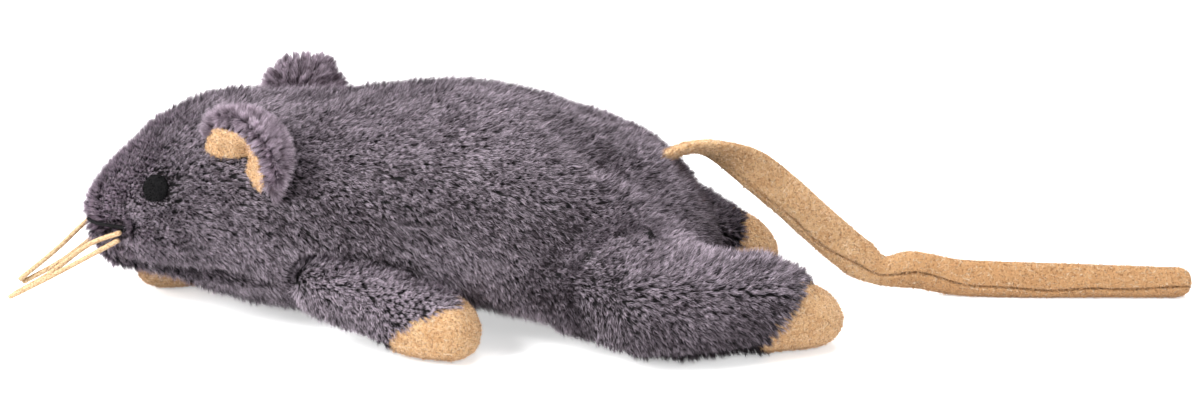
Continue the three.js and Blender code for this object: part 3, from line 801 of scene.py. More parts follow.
@dataclass
class Pile:
    """Strands that grow from a skin, by a Geometry Nodes tree."""

    finish: PileFinish
    length: float
    density: float = 31.0  # strands on a square millimetre
    width: float = 0.24 * MM
    tuft: float = 0.95 * MM  # how far apart tufts are
    pull: float = 0.65  # how much strands lean to their tuft
    swirl: float = 0.35
    stray: float = 0.15
    spread: float = 1.0  # how much strands differ in shade
    tufting: float = 0.5  # and how much whole tufts do
    seed: int = 1

    SIZES = ("length", "width", "tuft", "pull", "swirl", "stray", "spread", "tufting")

    @staticmethod
    def blade() -> bpy.types.Object:
        """One strand of unit size, a face that rises along Z and leans to Y, made once."""
        found = bpy.data.objects.get(STRAND)
        if found:
            return found
        build = bmesh.new()
        layer = build.loops.layers.uv.new(BAKE_MAP)
        face = build.faces.new([build.verts.new(spot) for spot in ((-0.5, 0, 0), (0.5, 0, 0), (0, 1, 1))])
        for loop in face.loops:
            loop[layer].uv = (0.5 + 0.8 * loop.vert.co.x, 0.02 + 0.96 * loop.vert.co.z)
        return show(STRAND, mesh_from(STRAND, build))

    @staticmethod
    def tree() -> bpy.types.NodeTree:
        """The tree that grows strands, made once."""
        found = bpy.data.node_groups.get("pile")
        if found:
            return found
        tree = bpy.data.node_groups.new("pile", "GeometryNodeTree")
        kinds = {"Skin": "Geometry", "Region": "Int", "Seed": "Int", "Blade": "Object", "Finish": "Material"}
        sizes = [name.title() for name in Pile.SIZES]
        for name in ("Skin", "Region", "Density", *sizes, "Seed", "Blade", "Finish"):
            tree.interface.new_socket(name, in_out="INPUT", socket_type=f"NodeSocket{kinds.get(name, 'Float')}")
        tree.interface.new_socket("Pile", in_out="OUTPUT", socket_type="NodeSocketGeometry")
        net = Net(tree)
        given = net.add("NodeGroupInput")
        size = {s.name: net.out(given, s.name) for s in given.outputs if s.name}

        def stored(name: str, kind: str) -> Wire:
            """A value that the skin carries."""
            return net.made("GeometryNodeInputNamedAttribute", {"data_type": kind}, {"Name": name}, "Attribute")

        def chance(low: Any, high: Any, salt: int, kind: str = "FLOAT") -> Wire:
            """A random value for each strand."""
            sockets = {"Min": low, "Max": high, "Seed": size["Seed"] * 31 + salt}
            return net.made("FunctionNodeRandomValue", {"data_type": kind}, sockets, "Value")

        here = net.made(
            "FunctionNodeCompare",
            {"data_type": "INT", "operation": "EQUAL"},
            {"A": stored("region", "INT"), "B": size["Region"]},
        )
        grown = net.add(
            "GeometryNodeDistributePointsOnFaces",
            {"distribute_method": "RANDOM"},
            {
                "Mesh": size["Skin"],
                "Selection": here,
                "Density": size["Density"] * stored("thick", "FLOAT"),
                "Seed": size["Seed"],
            },
        )
        normal = net.vector("NORMALIZE", stored("rise", "FLOAT_VECTOR"))
        place = net.made("GeometryNodeInputPosition", {}, {})
        cells = net.add(
            "ShaderNodeTexVoronoi",
            {"feature": "F1"},
            {"Vector": place, "Scale": 1 / size["Tuft"], "Randomness": 1.0},
        )
        to_tuft = net.vector("SUBTRACT", net.out(cells, "Position"), place)
        to_tuft = net.vector("SCALE", to_tuft, scale=size["Pull"] / size["Tuft"])
        wander = net.made("ShaderNodeTexNoise", {}, {"Vector": place, "Detail": 1.0, "Scale": 190.0}, "Color")
        wander = net.vector("SUBTRACT", wander, (0.5, 0.5, 0.5))
        wander = net.vector("SCALE", wander, scale=size["Swirl"] * 2)
        stray = net.vector("SCALE", chance((-1, -1, -1), (1, 1, 1), 1, "FLOAT_VECTOR"), scale=size["Stray"])
        drawn = net.vector("ADD", stored("comb", "FLOAT_VECTOR"), to_tuft)
        lay = net.vector("ADD", drawn, net.vector("ADD", wander, stray))
        along = net.vector("SCALE", normal, scale=net.vector("DOT_PRODUCT", lay, normal))
        lay = net.vector("SUBTRACT", lay, along)
        lean = net.vector("LENGTH", lay).held(0.05, 0.95)
        turned = net.add(
            "FunctionNodeAxesToRotation",
            {"primary_axis": "Z", "secondary_axis": "Y"},
            {"Primary Axis": normal, "Secondary Axis": lay},
        )
        long = size["Length"] * stored("pile", "FLOAT") * chance(0.7, 1.1, 2)
        rise = (1 - lean * lean) ** 0.5
        scale = net.add(
            "ShaderNodeCombineXYZ",
            {},
            {"X": size["Width"] * chance(0.75, 1.3, 3), "Y": long * lean, "Z": long * rise},
        )
        cell_tone = net.add("ShaderNodeSeparateXYZ", {}, {"Vector": net.out(cells, "Color")})
        tone = stored("shade", "FLOAT") + chance(-0.5, 0.5, 4) * size["Spread"]
        tone = tone + (net.out(cell_tone, "X") - 0.5) * size["Tufting"]
        toned = net.add(
            "GeometryNodeStoreNamedAttribute",
            {"data_type": "FLOAT", "domain": "POINT"},
            {"Geometry": net.out(grown, "Points"), "Name": "tone", "Value": tone.held(0.0, 0.999)},
        )
        blade = net.add("GeometryNodeObjectInfo", {}, {"Object": size["Blade"]})
        strands = net.add(
            "GeometryNodeInstanceOnPoints",
            {},
            {
                "Points": net.out(toned, "Geometry"),
                "Instance": net.out(blade, "Geometry"),
                "Rotation": net.out(turned),
                "Scale": net.out(scale),
            },
        )
        real = net.made("GeometryNodeRealizeInstances", {}, {"Geometry": net.out(strands)})
        across = net.add("ShaderNodeSeparateXYZ", {}, {"Vector": stored(BAKE_MAP, "FLOAT_VECTOR")})
        column = ((stored("tone", "FLOAT") * TONES).floor() + net.out(across, "X")) / TONES
        corner = net.made("ShaderNodeCombineXYZ", {}, {"X": column, "Y": net.out(across, "Y")})
        bare = net.made(
            "GeometryNodeStoreNamedAttribute",
            {"data_type": "FLOAT2", "domain": "CORNER"},
            {"Geometry": real, "Name": BAKE_MAP, "Value": corner},
            "Geometry",
        )
        for name in ("tone", "comb", "rise", "pile", "shade", "thick", "region"):
            sockets = {"Geometry": bare, "Name": name}
            bare = net.made("GeometryNodeRemoveAttribute", {}, sockets, "Geometry")
        dressed = net.add("GeometryNodeSetMaterial", {}, {"Geometry": bare, "Material": size["Finish"]})
        net.add("NodeGroupOutput", {}, {"Pile": net.out(dressed)})
        return tree

    def grow(self, name: str, skin: bpy.types.Object, region: int = 0) -> bpy.types.Object:
        """Grows the strands of one region of a skin.

        Args:
            name: The new piece's name.
            skin: The skin, with its pile, comb, shade, thick and region painted on.
            region: Which region.

        Returns:
            The piece, a plain mesh.
        """
        grower = show(name, skin.data.copy())
        modifier = grower.modifiers.new("pile", "NODES")
        modifier.node_group = self.tree()
        values = {name.title(): getattr(self, name) for name in self.SIZES}
        values |= {"Region": region, "Density": self.density / MM**2, "Seed": self.seed + region}
        values |= {"Blade": self.blade(), "Finish": self.finish.material()}
        for item in modifier.node_group.interface.items_tree:
            if item.item_type == "SOCKET" and item.in_out == "INPUT" and item.name in values:
                modifier[item.identifier] = values[item.name]
        return applied(grower)


@dataclass
class Coat:
    """What a skin says to its pile, point by point."""

    comb: np.ndarray
    pile: np.ndarray
    shade: np.ndarray
    thick: np.ndarray
    rise: np.ndarray
    evening: int = 24  # how often the strands' rise is evened out

    def depth(self, length: float) -> np.ndarray:
        """How deep the cloth lies under the tips of strands of a length."""
        lean = np.linalg.norm(self.comb, axis=1)
        return 0.8 * length * self.pile * np.sqrt(np.maximum(1 - lean * lean, 0.05))

    def lay_on(self, skin: bpy.types.Object, regions: int = 1) -> None:
        """Paints the coat onto a skin, and splits the skin into regions of like strand counts from nose to tail.

        Args:
            skin: The skin.
            regions: How many regions.
        """
        mesh = skin.data
        mean = neighbour_mean(mesh)
        rise = self.rise
        for _ in range(self.evening):
            rise = 0.5 * rise + 0.5 * mean(rise)
        paint(mesh, "rise", rise)
        for name in ("comb", "pile", "shade", "thick"):
            paint(mesh, name, getattr(self, name))
        faces = mesh.polygons
        area = np.array([f.area for f in faces])
        heavy = area * np.array([np.mean(self.thick[list(f.vertices)]) for f in faces])
        order = np.argsort([f.center.x for f in faces], kind="stable")
        share = np.cumsum(heavy[order]) / heavy.sum()
        number = np.empty(len(faces), np.int32)
        number[order] = np.minimum((share * regions).astype(np.int32), regions - 1)
        layer = mesh.attributes.get("region") or mesh.attributes.new("region", "INT", "FACE")
        layer.data.foreach_set("value", number)


def seated(piece: bpy.types.Object, body: str, nodes: Sequence[str] = ()) -> bpy.types.Object:
    """Sets a finished piece on its body and the nodes that it stands for."""
    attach(piece, body)
    if nodes:
        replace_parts(piece, *nodes)
    return piece


def lump(name: str, node: str, body: str, finish: Finish, share: float = 1.0) -> bpy.types.Object:
    """A soft filling that no one sees: a share of its solid, made into an uneven lump inside its cover."""
    piece = remeshed(solid_copy(name, [node]), 2.5 * MM, 6)
    mesh = piece.data
    normals = normals_of(mesh)
    points = points_of(mesh)
    waves = np.sin(points @ np.array([[900.0, 300.0, 500.0], [-400.0, 800.0, 650.0]]).T)
    ripple = waves[:, 0] * waves[:, 1]
    points -= normals * (0.7 + 0.35 * ripple)[:, None] * MM
    middle = points.mean(axis=0)
    put_points(mesh, middle + (points - middle) * share)
    seated(dress(piece, finish), body, [node])
    return piece


# The mouse


@dataclass
class Whiskers:
    """Two lengths of waxed cord on each side of the muzzle, twisted from three plies."""

    diameter: float = 1.2 * MM
    twist: float = 5.2 * MM  # one turn of a ply
    sides: int = 18
    rows: int = 90

    @staticmethod
    def routes() -> dict[str, list[Place]]:
        """Where each cord runs, in millimetres, as its solid does."""
        return {
            "left_whisker_upper": [(-69.6, -7.1, 21.6), (-77.9, -3.6, 17.2), (-88, -4, 9.7), (-96.4, -4, 4.8)],
            "left_whisker_lower": [(-70.2, -6.2, 19.4), (-77.4, -6.3, 15.4), (-86, -6.8, 10.8), (-97, -6.8, 5.1)],
            "right_whisker_upper": [(-72.6, 24.8, 19.2), (-80.5, 20, 16), (-89, 13, 9.6), (-97.6, 8.6, 3.4)],
            "right_whisker_lower": [(-72, 24.2, 15.2), (-79.5, 19, 11.6), (-88, 12.4, 6.8), (-97, 9.6, 2.4)],
        }

    def build(self) -> list[bpy.types.Object]:
        """Returns:
            The four cords.
        """
        made = []
        for node, route in self.routes().items():
            line = catmull(route, self.rows)
            piece = show(f"{node}_cord", self.twisted(node, line), WAXED_CORD)
            seated(piece, "torso", [node])
            made.append(piece)
        return made

    def twisted(self, name: str, line: np.ndarray) -> bpy.types.Mesh:
        """One cord of three plies along a line.

        Args:
            name: Its name.
            line: The places it runs through, in rows.

        Returns:
            A closed tube.
        """
        ahead = unit(np.gradient(line, axis=0))
        beside = unit(np.cross(ahead, (0.0, 1.0, 0.2)))
        above = np.cross(ahead, beside)
        travelled = travel(line)
        rings = []
        for row, place in enumerate(line):
            from_end = min(travelled[row], travelled[-1] - travelled[row])
            blunt = 0.72 + 0.28 * float(smooth(from_end, 0.0, 0.5 * MM))
            ring = []
            for side in range(self.sides):
                turn = 2 * math.pi * side / self.sides
                ply = abs(math.cos(1.5 * (turn - 2 * math.pi * travelled[row] / self.twist)))
                radius = self.diameter / 2 * blunt * (0.92 + 0.14 * ply**0.6)
                ring.append(place + radius * (math.cos(turn) * beside[row] + math.sin(turn) * above[row]))
            rings.append(ring)
        return tube(name, rings)


@dataclass
class Torso:
    """The body: two side panels and a belly gusset of plush over stuffing, with a sachet inside."""

    voxel: float = 2.2 * MM
    seam_width: float = 3.0 * MM
    swell: float = 1.2 * MM
    tuck: float = 3.4 * MM  # how far the belly is drawn up ahead of the hind legs
    regions: int = 6
    # how thick the dark cord is that stands as painted shade for the shadow in the mouth's slit
    thread: float = 0.8 * MM
    leg_room: float = 2.6 * MM  # how far it is drawn in under the hind legs
    nose: Place = (-84.0, 11.0, 20.0)
    mouth: tuple[Place, ...] = (
        (-81.6, 10.0, 20.6),
        (-79.5, 5.8, 20.4),
        (-77.0, 0.8, 21.2),
        (-74.0, -2.4, 21.8),
        (-68.6, -6.8, 22.6),
    )
    jaw: tuple[Place, ...] = (
        (-71.6, -1.7, 12.3),
        (-67.1, -4.2, 12.5),
        (-60.7, -7.8, 13.2),
        (-47.6, -17.2, 16.1),
        (-35.7, -20.1, 14.7),
    )
    folds: tuple[tuple[Place, ...], ...] = (
        ((30.0, -10.0, 50.4), (36.5, -14.2, 46.9), (41.5, -17.6, 43.8)),
        ((44.0, -17.0, 42.8), (48.6, -18.3, 40.1), (53.0, -19.8, 37.6)),
    )  # soft creases on the rump

    PANELS = ("left_side_panel", "right_side_panel", "belly_panel")
    FILLINGS = {
        "front_stuffing": (FIBRE, "fibre"),
        "rear_stuffing": (FIBRE, "fibre"),
        "sachet_top": (COTTON, "cotton"),
        "sachet_bottom": (COTTON, "cotton"),
        "catnip_fill": (HERB, "herb"),
    }
    PILE = Pile(PLUSH_PILE, length=3.5 * MM, stray=0.15, seed=11)

    def build(self) -> list[bpy.types.Object]:
        """Makes the cover, its pile and what is inside.

        Returns:
            The pieces.
        """
        cover = remeshed(solid_copy("torso_cover", (*self.PANELS, *self.FILLINGS)), self.voxel, 12)
        points, normals = points_of(cover.data), normals_of(cover.data)
        seam = self.seam_distance(points)
        deep = self.coat(points, normals).depth(self.PILE.length)
        legs = self.to_limbs(points, "leg")
        deep += self.leg_room * fade(legs, -1.5 * MM, 2.5 * MM)
        points -= normals * deep[:, None]
        low = smooth(points[:, 0], 4 * MM, 16 * MM) * fade(points[:, 0], 30 * MM, 44 * MM)
        points[:, 2] += self.tuck * low * fade(points[:, 2], 2 * MM, 14 * MM)
        put_points(cover.data, points)
        puffed(cover, 1 - smooth(seam, 0.3 * self.seam_width, 1.6 * self.seam_width), self.swell)
        subdivided(cover, 1)
        points, normals = points_of(cover.data), normals_of(cover.data)
        drawn = fade(self.seam_distance(points), 1.2 * MM, 0.9 * self.seam_width)
        drawn *= 1.2 - 1.0 * smooth(normals[:, 2], 0.1, 0.5)
        drawn += 2.8 * fade(self.to_line(points, self.mouth), 0.4 * MM, 2.2 * MM)
        drawn += 1.2 * fade(self.to_line(points, self.jaw), 1.0 * MM, 2.8 * MM)
        for fold in self.folds:
            drawn += 1.3 * fade(self.to_line(points, fold), 1.5 * MM, 6.0 * MM)
        put_points(cover.data, points - normals * drawn[:, None] * MM)
        dress(cover, PLUSH_BACKING)
        self.coat(points_of(cover.data), normals_of(cover.data)).lay_on(cover, self.regions)
        made = [cover]
        for region in range(self.regions):
            made.append(seated(self.PILE.grow(f"torso_pile_{region + 1}", cover, region), "torso"))
        # a dark cord along the mouth, painted shade for the shadow in its slit
        made.append(seated(self.stitched("mouth_stitch", self.mouth[1:]), "torso"))
        seated(cover, "torso", self.PANELS)
        for node, (finish, slot) in self.FILLINGS.items():
            made.append(lump(f"{node}_lump", node, "torso", finish))
        return made

    def stitched(self, name: str, route: Sequence[Sequence[float]]) -> bpy.types.Object:
        """A dark cord along a line on the body, its thickness rising and falling along it: painted shade, for the
        shadow in a slit.
        """
        line = catmull(route, 60)
        thread = Whiskers(diameter=self.thread, twist=1.6 * MM, sides=8)
        return show(name, thread.twisted(name, line), FELT)

    @staticmethod
    def to_limbs(points: np.ndarray, kind: str) -> np.ndarray:
        """How far points are from the plush of both limbs of a kind."""
        return distances(points, [f"{side.word}_{kind}_{half}" for side in Side for half in ("upper", "lower")])

    def seam_distance(self, points: np.ndarray) -> np.ndarray:
        """How far points on the skin are from the nearest seam, about."""
        apart = np.sort(np.stack([distances(points, [panel]) for panel in self.PANELS]), axis=0)
        return apart[1]

    def to_line(self, points: np.ndarray, line: Sequence[Sequence[float]]) -> np.ndarray:
        """How far points are from a line that is drawn on the body.

        Args:
            points: The points, in rows.
            line: The line's corners, in millimetres.

        Returns:
            A distance for each point, apart from how deep it lies.
        """
        marks = catmull(line, 40)
        near = np.argmin(np.linalg.norm(points[:, None] - marks[None], axis=2), axis=1)
        gap = points - marks[near]
        inward = unit(np.array([0.0, 5.0 * MM, 22.0 * MM]) - marks * np.array([0.0, 1.0, 1.0]))[near]
        sunk = np.clip(np.sum(gap * inward, axis=1), 0.0, 4.0 * MM)
        return np.linalg.norm(gap - inward * sunk[:, None], axis=1)

    def coat(self, points: np.ndarray, normals: np.ndarray) -> Coat:
        """How the torso's pile lies and what shade it takes: combed from the nose to the tail and down, short at the
        face and seams, with painted light on top and painted shade in its creases.

        Args:
            points: The cloth's points, in rows.
            normals: Its normals there.

        Returns:
            The coat.
        """
        x = points[:, 0] / MM
        comb = np.tile([1.0, 0.0, 0.0], (len(points), 1))
        comb += unit(points - np.array(self.nose) * MM) * fade(x, -70.0, -35.0)[:, None]
        comb = unit(comb)
        comb[:, 2] -= 0.5 * np.abs(normals[:, 1]) * smooth(x, -60.0, -20.0)
        mouth = self.to_line(points, self.mouth)
        lip = np.interp(x, (-80.0, -68.0), (20.4, 22.6))
        comb[:, 2] += 1.2 * np.sign(points[:, 2] / MM - lip) * fade(mouth, 1.0 * MM, 4.0 * MM)
        comb = combed(unit(comb), normals, 0.9 - 0.32 * smooth(x, 25.0, 52.0))
        seam = self.seam_distance(points)
        muzzle = fade(x, -82.0, -54.0)
        under = 1 - 0.85 * smooth(normals[:, 2], 0.1, 0.5)
        pile = 1 - 0.25 * fade(seam, 1.5 * MM, 5.5 * MM) * (1 - muzzle) * under - 0.1 * muzzle
        face = fade(x, -62.0, -22.0)
        # painted light: the pile is lighter on top, where the light falls, and lighter under the body; it is lighter
        # towards the muzzle and face and darker towards the rump; painted shade at the rear end, beside the far leg
        shade = 0.09 + 0.52 * np.maximum(normals[:, 2], 0) + 0.36 * smooth(-normals[:, 2], -0.25, 0.2)
        shade += 0.66 * muzzle + 0.3 * face - 0.14 * smooth(x, 15.0, 40.0) - 0.25 * smooth(x, 63.0, 70.0)
        # painted shade in the creases along the seams, less on top
        shade -= 0.2 * fade(seam, 1.0 * MM, 2.6 * MM) * (1 - muzzle) * under
        # painted shade in the crease along the jaw seam
        jaw = fade(self.to_line(points, self.jaw), 0.6 * MM, 2.0 * MM)
        shade -= 0.4 * jaw
        pile *= 1 - 0.4 * jaw
        # painted shade in the soft creases on the rump
        for fold in self.folds:
            shade -= 0.1 * fade(self.to_line(points, fold), 0.8 * MM, 4.5 * MM)
        for side in Side:
            away = np.linalg.norm(points - middle_of(f"{side.word}_eye"), axis=1) / MM
            pile *= 0.35 + 0.65 * smooth(away, 2.5, 6.5)
        # painted shade in the mouth's slit
        near = fade(mouth, 0.8 * MM, 1.8 * MM)
        shade -= 0.6 * near
        pile *= 1 - 0.65 * near
        legs, arms = self.to_limbs(points, "leg"), self.to_limbs(points, "arm")
        pile *= 0.55 + 0.45 * smooth(arms, 1.0 * MM, 4.0 * MM)
        # painted shadow in the crease above the near arm
        shade -= 0.34 * fade(arms, 1.5 * MM, 4.5 * MM) * smooth(x, -24.0, -14.0) * (points[:, 1] < 0)
        thick = (0.7 + 0.3 * smooth(legs, 0.0, 2.0 * MM)) * (0.75 + 0.25 * smooth(arms, 0.5 * MM, 2.5 * MM))
        pile *= 0.5 + 0.5 * smooth(legs, 0.0, 3.0 * MM)
        thick *= smooth(distances(points, ["left_ear_back", "right_ear_back"]), 0.8 * MM, 2.0 * MM)
        lining = distances(points, ["left_ear_lining", "right_ear_lining"])
        thick *= smooth(lining, 0.2 * MM, 1.0 * MM)
        pile *= 0.7 + 0.3 * smooth(lining, 1.5 * MM, 6.0 * MM)
        thick *= smooth(distances(points, ["left_eye", "right_eye"]), 0.4 * MM, 1.2 * MM)
        thick *= smooth(mouth, 0.7 * MM, 1.3 * MM) * (1 + 0.4 * muzzle)
        return Coat(comb, pile, shade, thick, normals)


class LimbKind(Enum):
    """The two kinds of limb: its word, its suede end's, how that end's edge leans back to the body from its top
    down, and the height at which that edge is where the solids meet."""

    ARM = ("arm", "front_paw", 0.4, 8 * MM)
    LEG = ("leg", "hind_foot", 0.55, 16 * MM)


@dataclass
class Limb:
    """A front or hind leg: a plush sleeve in two halves over a stuffing core, with a suede end.

    A hind leg's sleeve runs on into the body, as it is cut in one with the side panel.
    """

    side: Side
    kind: LimbKind
    voxel: float = 1.8 * MM
    swell: float = 0.8 * MM
    root_spread: float = 10.0 * MM  # how far a hind leg's sleeve runs onto the body
    root_sink: float = 3.4 * MM  # how far its edge dips into the body there
    arm_sink: float = 0.68 * MM  # and how far a front leg's root does
    hip_reach: float = 13.0 * MM
    raised: float = 2.8 * MM  # how much a hind leg's sleeve swells towards its foot
    far_raised: float = 1.12 * MM  # and how much the right one does
    reach: float = 56.0 * MM  # how far from the hip a hind leg's skin is needed
    core_share: float = 0.62  # how much of its core's length the stuffing takes up

    PILE = Pile(PLUSH_PILE, length=3.4 * MM, stray=0.17, seed=50)

    @property
    def body(self) -> str:
        """The body that it rides on."""
        return f"{self.side.word}_{self.kind.value[0]}"

    @property
    def end(self) -> str:
        """The node of its suede end."""
        return f"{self.side.word}_{self.kind.value[1]}"

    @property
    def sleeve(self) -> list[str]:
        """The nodes of its plush halves."""
        return [f"{self.body}_upper", f"{self.body}_lower"]

    @property
    def core(self) -> str:
        """The node of its stuffing."""
        return f"{self.body}_stuffing"

    def build(self) -> list[bpy.types.Object]:
        """Makes the sleeve, its pile, the suede end and the core.

        Returns:
            The pieces.
        """
        runs_on = self.kind is LimbKind.LEG
        plush_shape: list[Shape] = self.sleeve
        suede_shape: list[Shape] = [self.end]
        shapes = [*self.sleeve, self.end, self.core, *Torso.PANELS, *Torso.FILLINGS]
        if not runs_on:
            plush_shape, suede_shape = [hull([*self.sleeve, self.core])], [hull([self.end])]
            shapes = [*plush_shape, *suede_shape]
        whole = solid_copy(f"{self.body}_whole", shapes)
        remeshed(whole, self.voxel, 10)
        points = points_of(whole.data)
        if runs_on:
            near = np.abs(points[:, 0] - self.hip().x) < self.reach
            cropped(whole, near & (points[:, 1] * self.side.value > -2 * MM))
            points = points_of(whole.data)
        away = distances(points, [*self.sleeve, self.end])
        if runs_on:
            self.fill_crease(whole, away)
        kept = away < (self.root_spread if runs_on else 1.0)
        spread = smooth(away, 0.5 * self.root_spread, self.root_spread) if runs_on else self.in_root(points)
        points, normals = points_of(whole.data), normals_of(whole.data)
        to_end, to_sleeve = distances(points, suede_shape), distances(points, plush_shape)
        _, _, slant, height = self.kind.value
        past = to_end - to_sleeve + slant * (points[:, 2] - height)
        plush = smooth(past, -1.0 * MM, 0.8 * MM)
        sink = self.root_sink if runs_on else self.arm_sink
        deep = self.coat(points, normals).depth(self.PILE.length) * plush + 0.3 * MM + sink * spread
        if runs_on:
            behind = points[:, 0] - self.hip().x
            raised = self.raised if self.side is Side.LEFT else self.far_raised
            deep -= raised * smooth(normals[:, 2], 0.1, 0.7) * smooth(behind, 19 * MM, 32 * MM) * plush
        put_points(whole.data, points - normals * deep[:, None])
        seam = np.maximum(distances(points, self.sleeve[:1]), distances(points, self.sleeve[1:]))
        held = np.maximum(1 - smooth(seam, 1.0 * MM, 3.5 * MM), smooth(away, 2.0 * MM, 5.0 * MM))
        held = np.maximum(held, 1 - smooth(np.abs(past), 0.5 * MM, 2.5 * MM))
        puffed(whole, held, self.swell)
        suede = past < 0
        if not runs_on:
            points = points_of(whole.data)
            low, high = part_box(self.end)
            points[:, 2] *= 1 - 0.1 * smooth(points[:, 0], low.x, high.x)
            put_points(whole.data, points)
        sleeve = self.part(f"{self.body}_sleeve", whole, kept & ~suede, PLUSH_BACKING)
        paw = self.part(f"{self.end}_suede", whole, kept & suede, SUEDE)
        bpy.data.objects.remove(whole)
        regions = 2 if runs_on else 1
        self.coat(points_of(sleeve.data), normals_of(sleeve.data)).lay_on(sleeve, regions)
        piles = [self.PILE.grow(f"{self.body}_pile_{number + 1}", sleeve, number) for number in range(regions)]
        for piece in (sleeve, *piles):
            self.hang(piece, runs_on)
        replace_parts(sleeve, *self.sleeve)
        fuzz = seated(nap(f"{self.end}_nap", paw), self.body)
        seated(paw, self.body, [self.end])
        filling = lump(f"{self.core}_lump", self.core, self.body, FIBRE, self.core_share)
        return [sleeve, *piles, paw, fuzz, filling]

    def in_root(self, points: np.ndarray) -> np.ndarray:
        """How far points are within the end of a front leg that is sewn to the body, 0 to 1."""
        root = np.array(joint_of(self.body)["pos_m"])
        return fade((points - root) @ self.ahead(), -7.0 * MM, 0.0)

    def ahead(self) -> np.ndarray:
        """Which way the limb runs, from its stuffing to its suede end."""
        return unit(middle_of(self.end) - middle_of(self.core))

    def hip(self) -> Vector:
        """Where the leg turns."""
        return Vector(joint_of(self.body)["pos_m"])

    def fill_crease(self, whole: bpy.types.Object, away: np.ndarray) -> None:
        """Fills the crease between a hind leg and the body, apart from its rear end.

        Args:
            whole: The skin round both.
            away: How far its points are from the leg.
        """
        points = points_of(whole.data)
        crease = fade(np.maximum(away, distances(points, Torso.PANELS)), 3.0 * MM, 8.0 * MM)
        crease *= fade(points[:, 0] - self.hip().x, 7.0 * MM, 17.0 * MM)
        relax(whole.data, 70, crease, fills=True)

    def hang(self, piece: bpy.types.Object, runs_on: bool) -> None:
        """Sets a plush piece on the limb's body, or, where it runs on into the torso, bakes its place into its mesh
        and leaves it across the hip.

        Args:
            piece: The piece.
            runs_on: Whether it crosses the hip.
        """
        if runs_on:
            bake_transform(piece)
        else:
            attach(piece, self.body)

    @staticmethod
    def part(name: str, whole: bpy.types.Object, kept: np.ndarray, finish: Finish) -> bpy.types.Object:
        """The faces of a whole limb that touch kept points, as a piece of their own.

        Args:
            name: The piece's name.
            whole: The whole limb.
            kept: Which points it keeps.
            finish: Its finish.

        Returns:
            The piece, with its open end closed.
        """
        build = bmesh.new()
        build.from_mesh(whole.data)
        build.verts.ensure_lookup_table()
        spare = [f for f in build.faces if not any(kept[v.index] for v in f.verts)]
        bmesh.ops.delete(build, geom=spare, context="FACES")
        rim = [e for e in build.edges if e.is_boundary]
        for lid in bmesh.ops.holes_fill(build, edges=rim, sides=0)["faces"]:
            loop = lid.loops[0]
            if loop.link_loop_radial_next.vert == loop.vert:
                lid.normal_flip()
        return subdivided(show(name, mesh_from(name, build), finish), 1)

    def coat(self, points: np.ndarray, normals: np.ndarray) -> Coat:
        """How the limb's pile lies and what shade it takes: combed from its root to its suede end, with painted
        light on top, painted shade on the far leg and along the seam.

        Args:
            points: The sleeve's points, in rows.
            normals: Its normals there.

        Returns:
            The coat.
        """
        ahead = self.ahead()
        comb = np.tile(ahead, (len(points), 1))
        comb[:, 2] -= 0.4 * (1 - np.abs(normals[:, 2]))
        to_end = distances(points, [self.end])
        if self.kind is LimbKind.ARM:
            lean = np.full(len(points), 0.74)
            # painted light: an arm's pile is lighter on top
            shade = 0.66 + 0.22 * normals[:, 2]
            seam_height = 8.0 * MM - 0.12 * (points[:, 0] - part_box(self.core)[0][0])
        else:
            lean = 0.82 - 0.25 * smooth(points[:, 0], 30.0 * MM, 60.0 * MM)
            x = points[:, 0]
            # painted light: a hind leg's pile is lighter on top; it is also lighter about the thigh and darker
            # towards the foot
            shade = 0.2 + 0.34 * np.maximum(normals[:, 2], 0)
            shade += 0.08 * smooth(x, 50 * MM, 64 * MM) - 0.14 * smooth(x, 66 * MM, 76 * MM)
            if self.side is Side.RIGHT:
                # painted shade: the right leg, on the far side, is darker all over
                shade = 0.18 + 0.1 * normals[:, 2]
            seam_height = np.full(len(points), 5.0 * MM)
        comb = combed(unit(comb), normals, lean)
        under = fade(points[:, 2] - seam_height, -0.6 * MM, 0.6 * MM)
        seam = fade(np.abs(points[:, 2] - seam_height), 0.5 * MM, 1.6 * MM)
        # painted shade in the crease along the seam line, and darker below it
        shade -= 0.26 * under + 0.45 * seam
        pile = (0.75 + 0.25 * smooth(to_end, 0.5 * MM, 4.0 * MM)) * (1 - 0.5 * seam)
        against = -np.minimum(normals @ ahead, 0.0)[:, None]
        rise = normals + against * (0.9 * ahead + np.array([0.0, 0.25 * self.side.value, 0.25]))
        if self.kind is LimbKind.ARM:
            thick = 1 - 0.3 * self.in_root(points)
        else:
            thick = fade(distances(points, [*self.sleeve, self.end]), 5.0 * MM, 9.0 * MM)
        return Coat(comb, pile, shade, thick, unit(rise))


def nap(
    name: str, suede: bpy.types.Object, finish: PileFinish = SUEDE_NAP, density: float = 9.0, shade: Any = 0.5
) -> bpy.types.Object:
    """The short brushed nap of a suede or felt piece, as tiny strands."""
    points = points_of(suede.data)
    rough = np.sin(points @ np.array([2100.0, 900.0, 1300.0])) * 0.5 + 0.5
    comb = np.tile([0.35, 0.0, -0.15], (len(points), 1))
    whole = np.ones(len(points))
    Coat(comb, 0.7 + 0.5 * rough, shade * whole, whole, normals_of(suede.data), 1).lay_on(suede)
    pile = Pile(
        finish,
        length=0.75 * MM,
        density=density,
        width=0.13 * MM,
        tuft=0.8 * MM,
        pull=0.9,
        swirl=1.2,
        stray=0.7,
        spread=0.9,
        seed=len(name),
    )
    return pile.grow(name, suede)


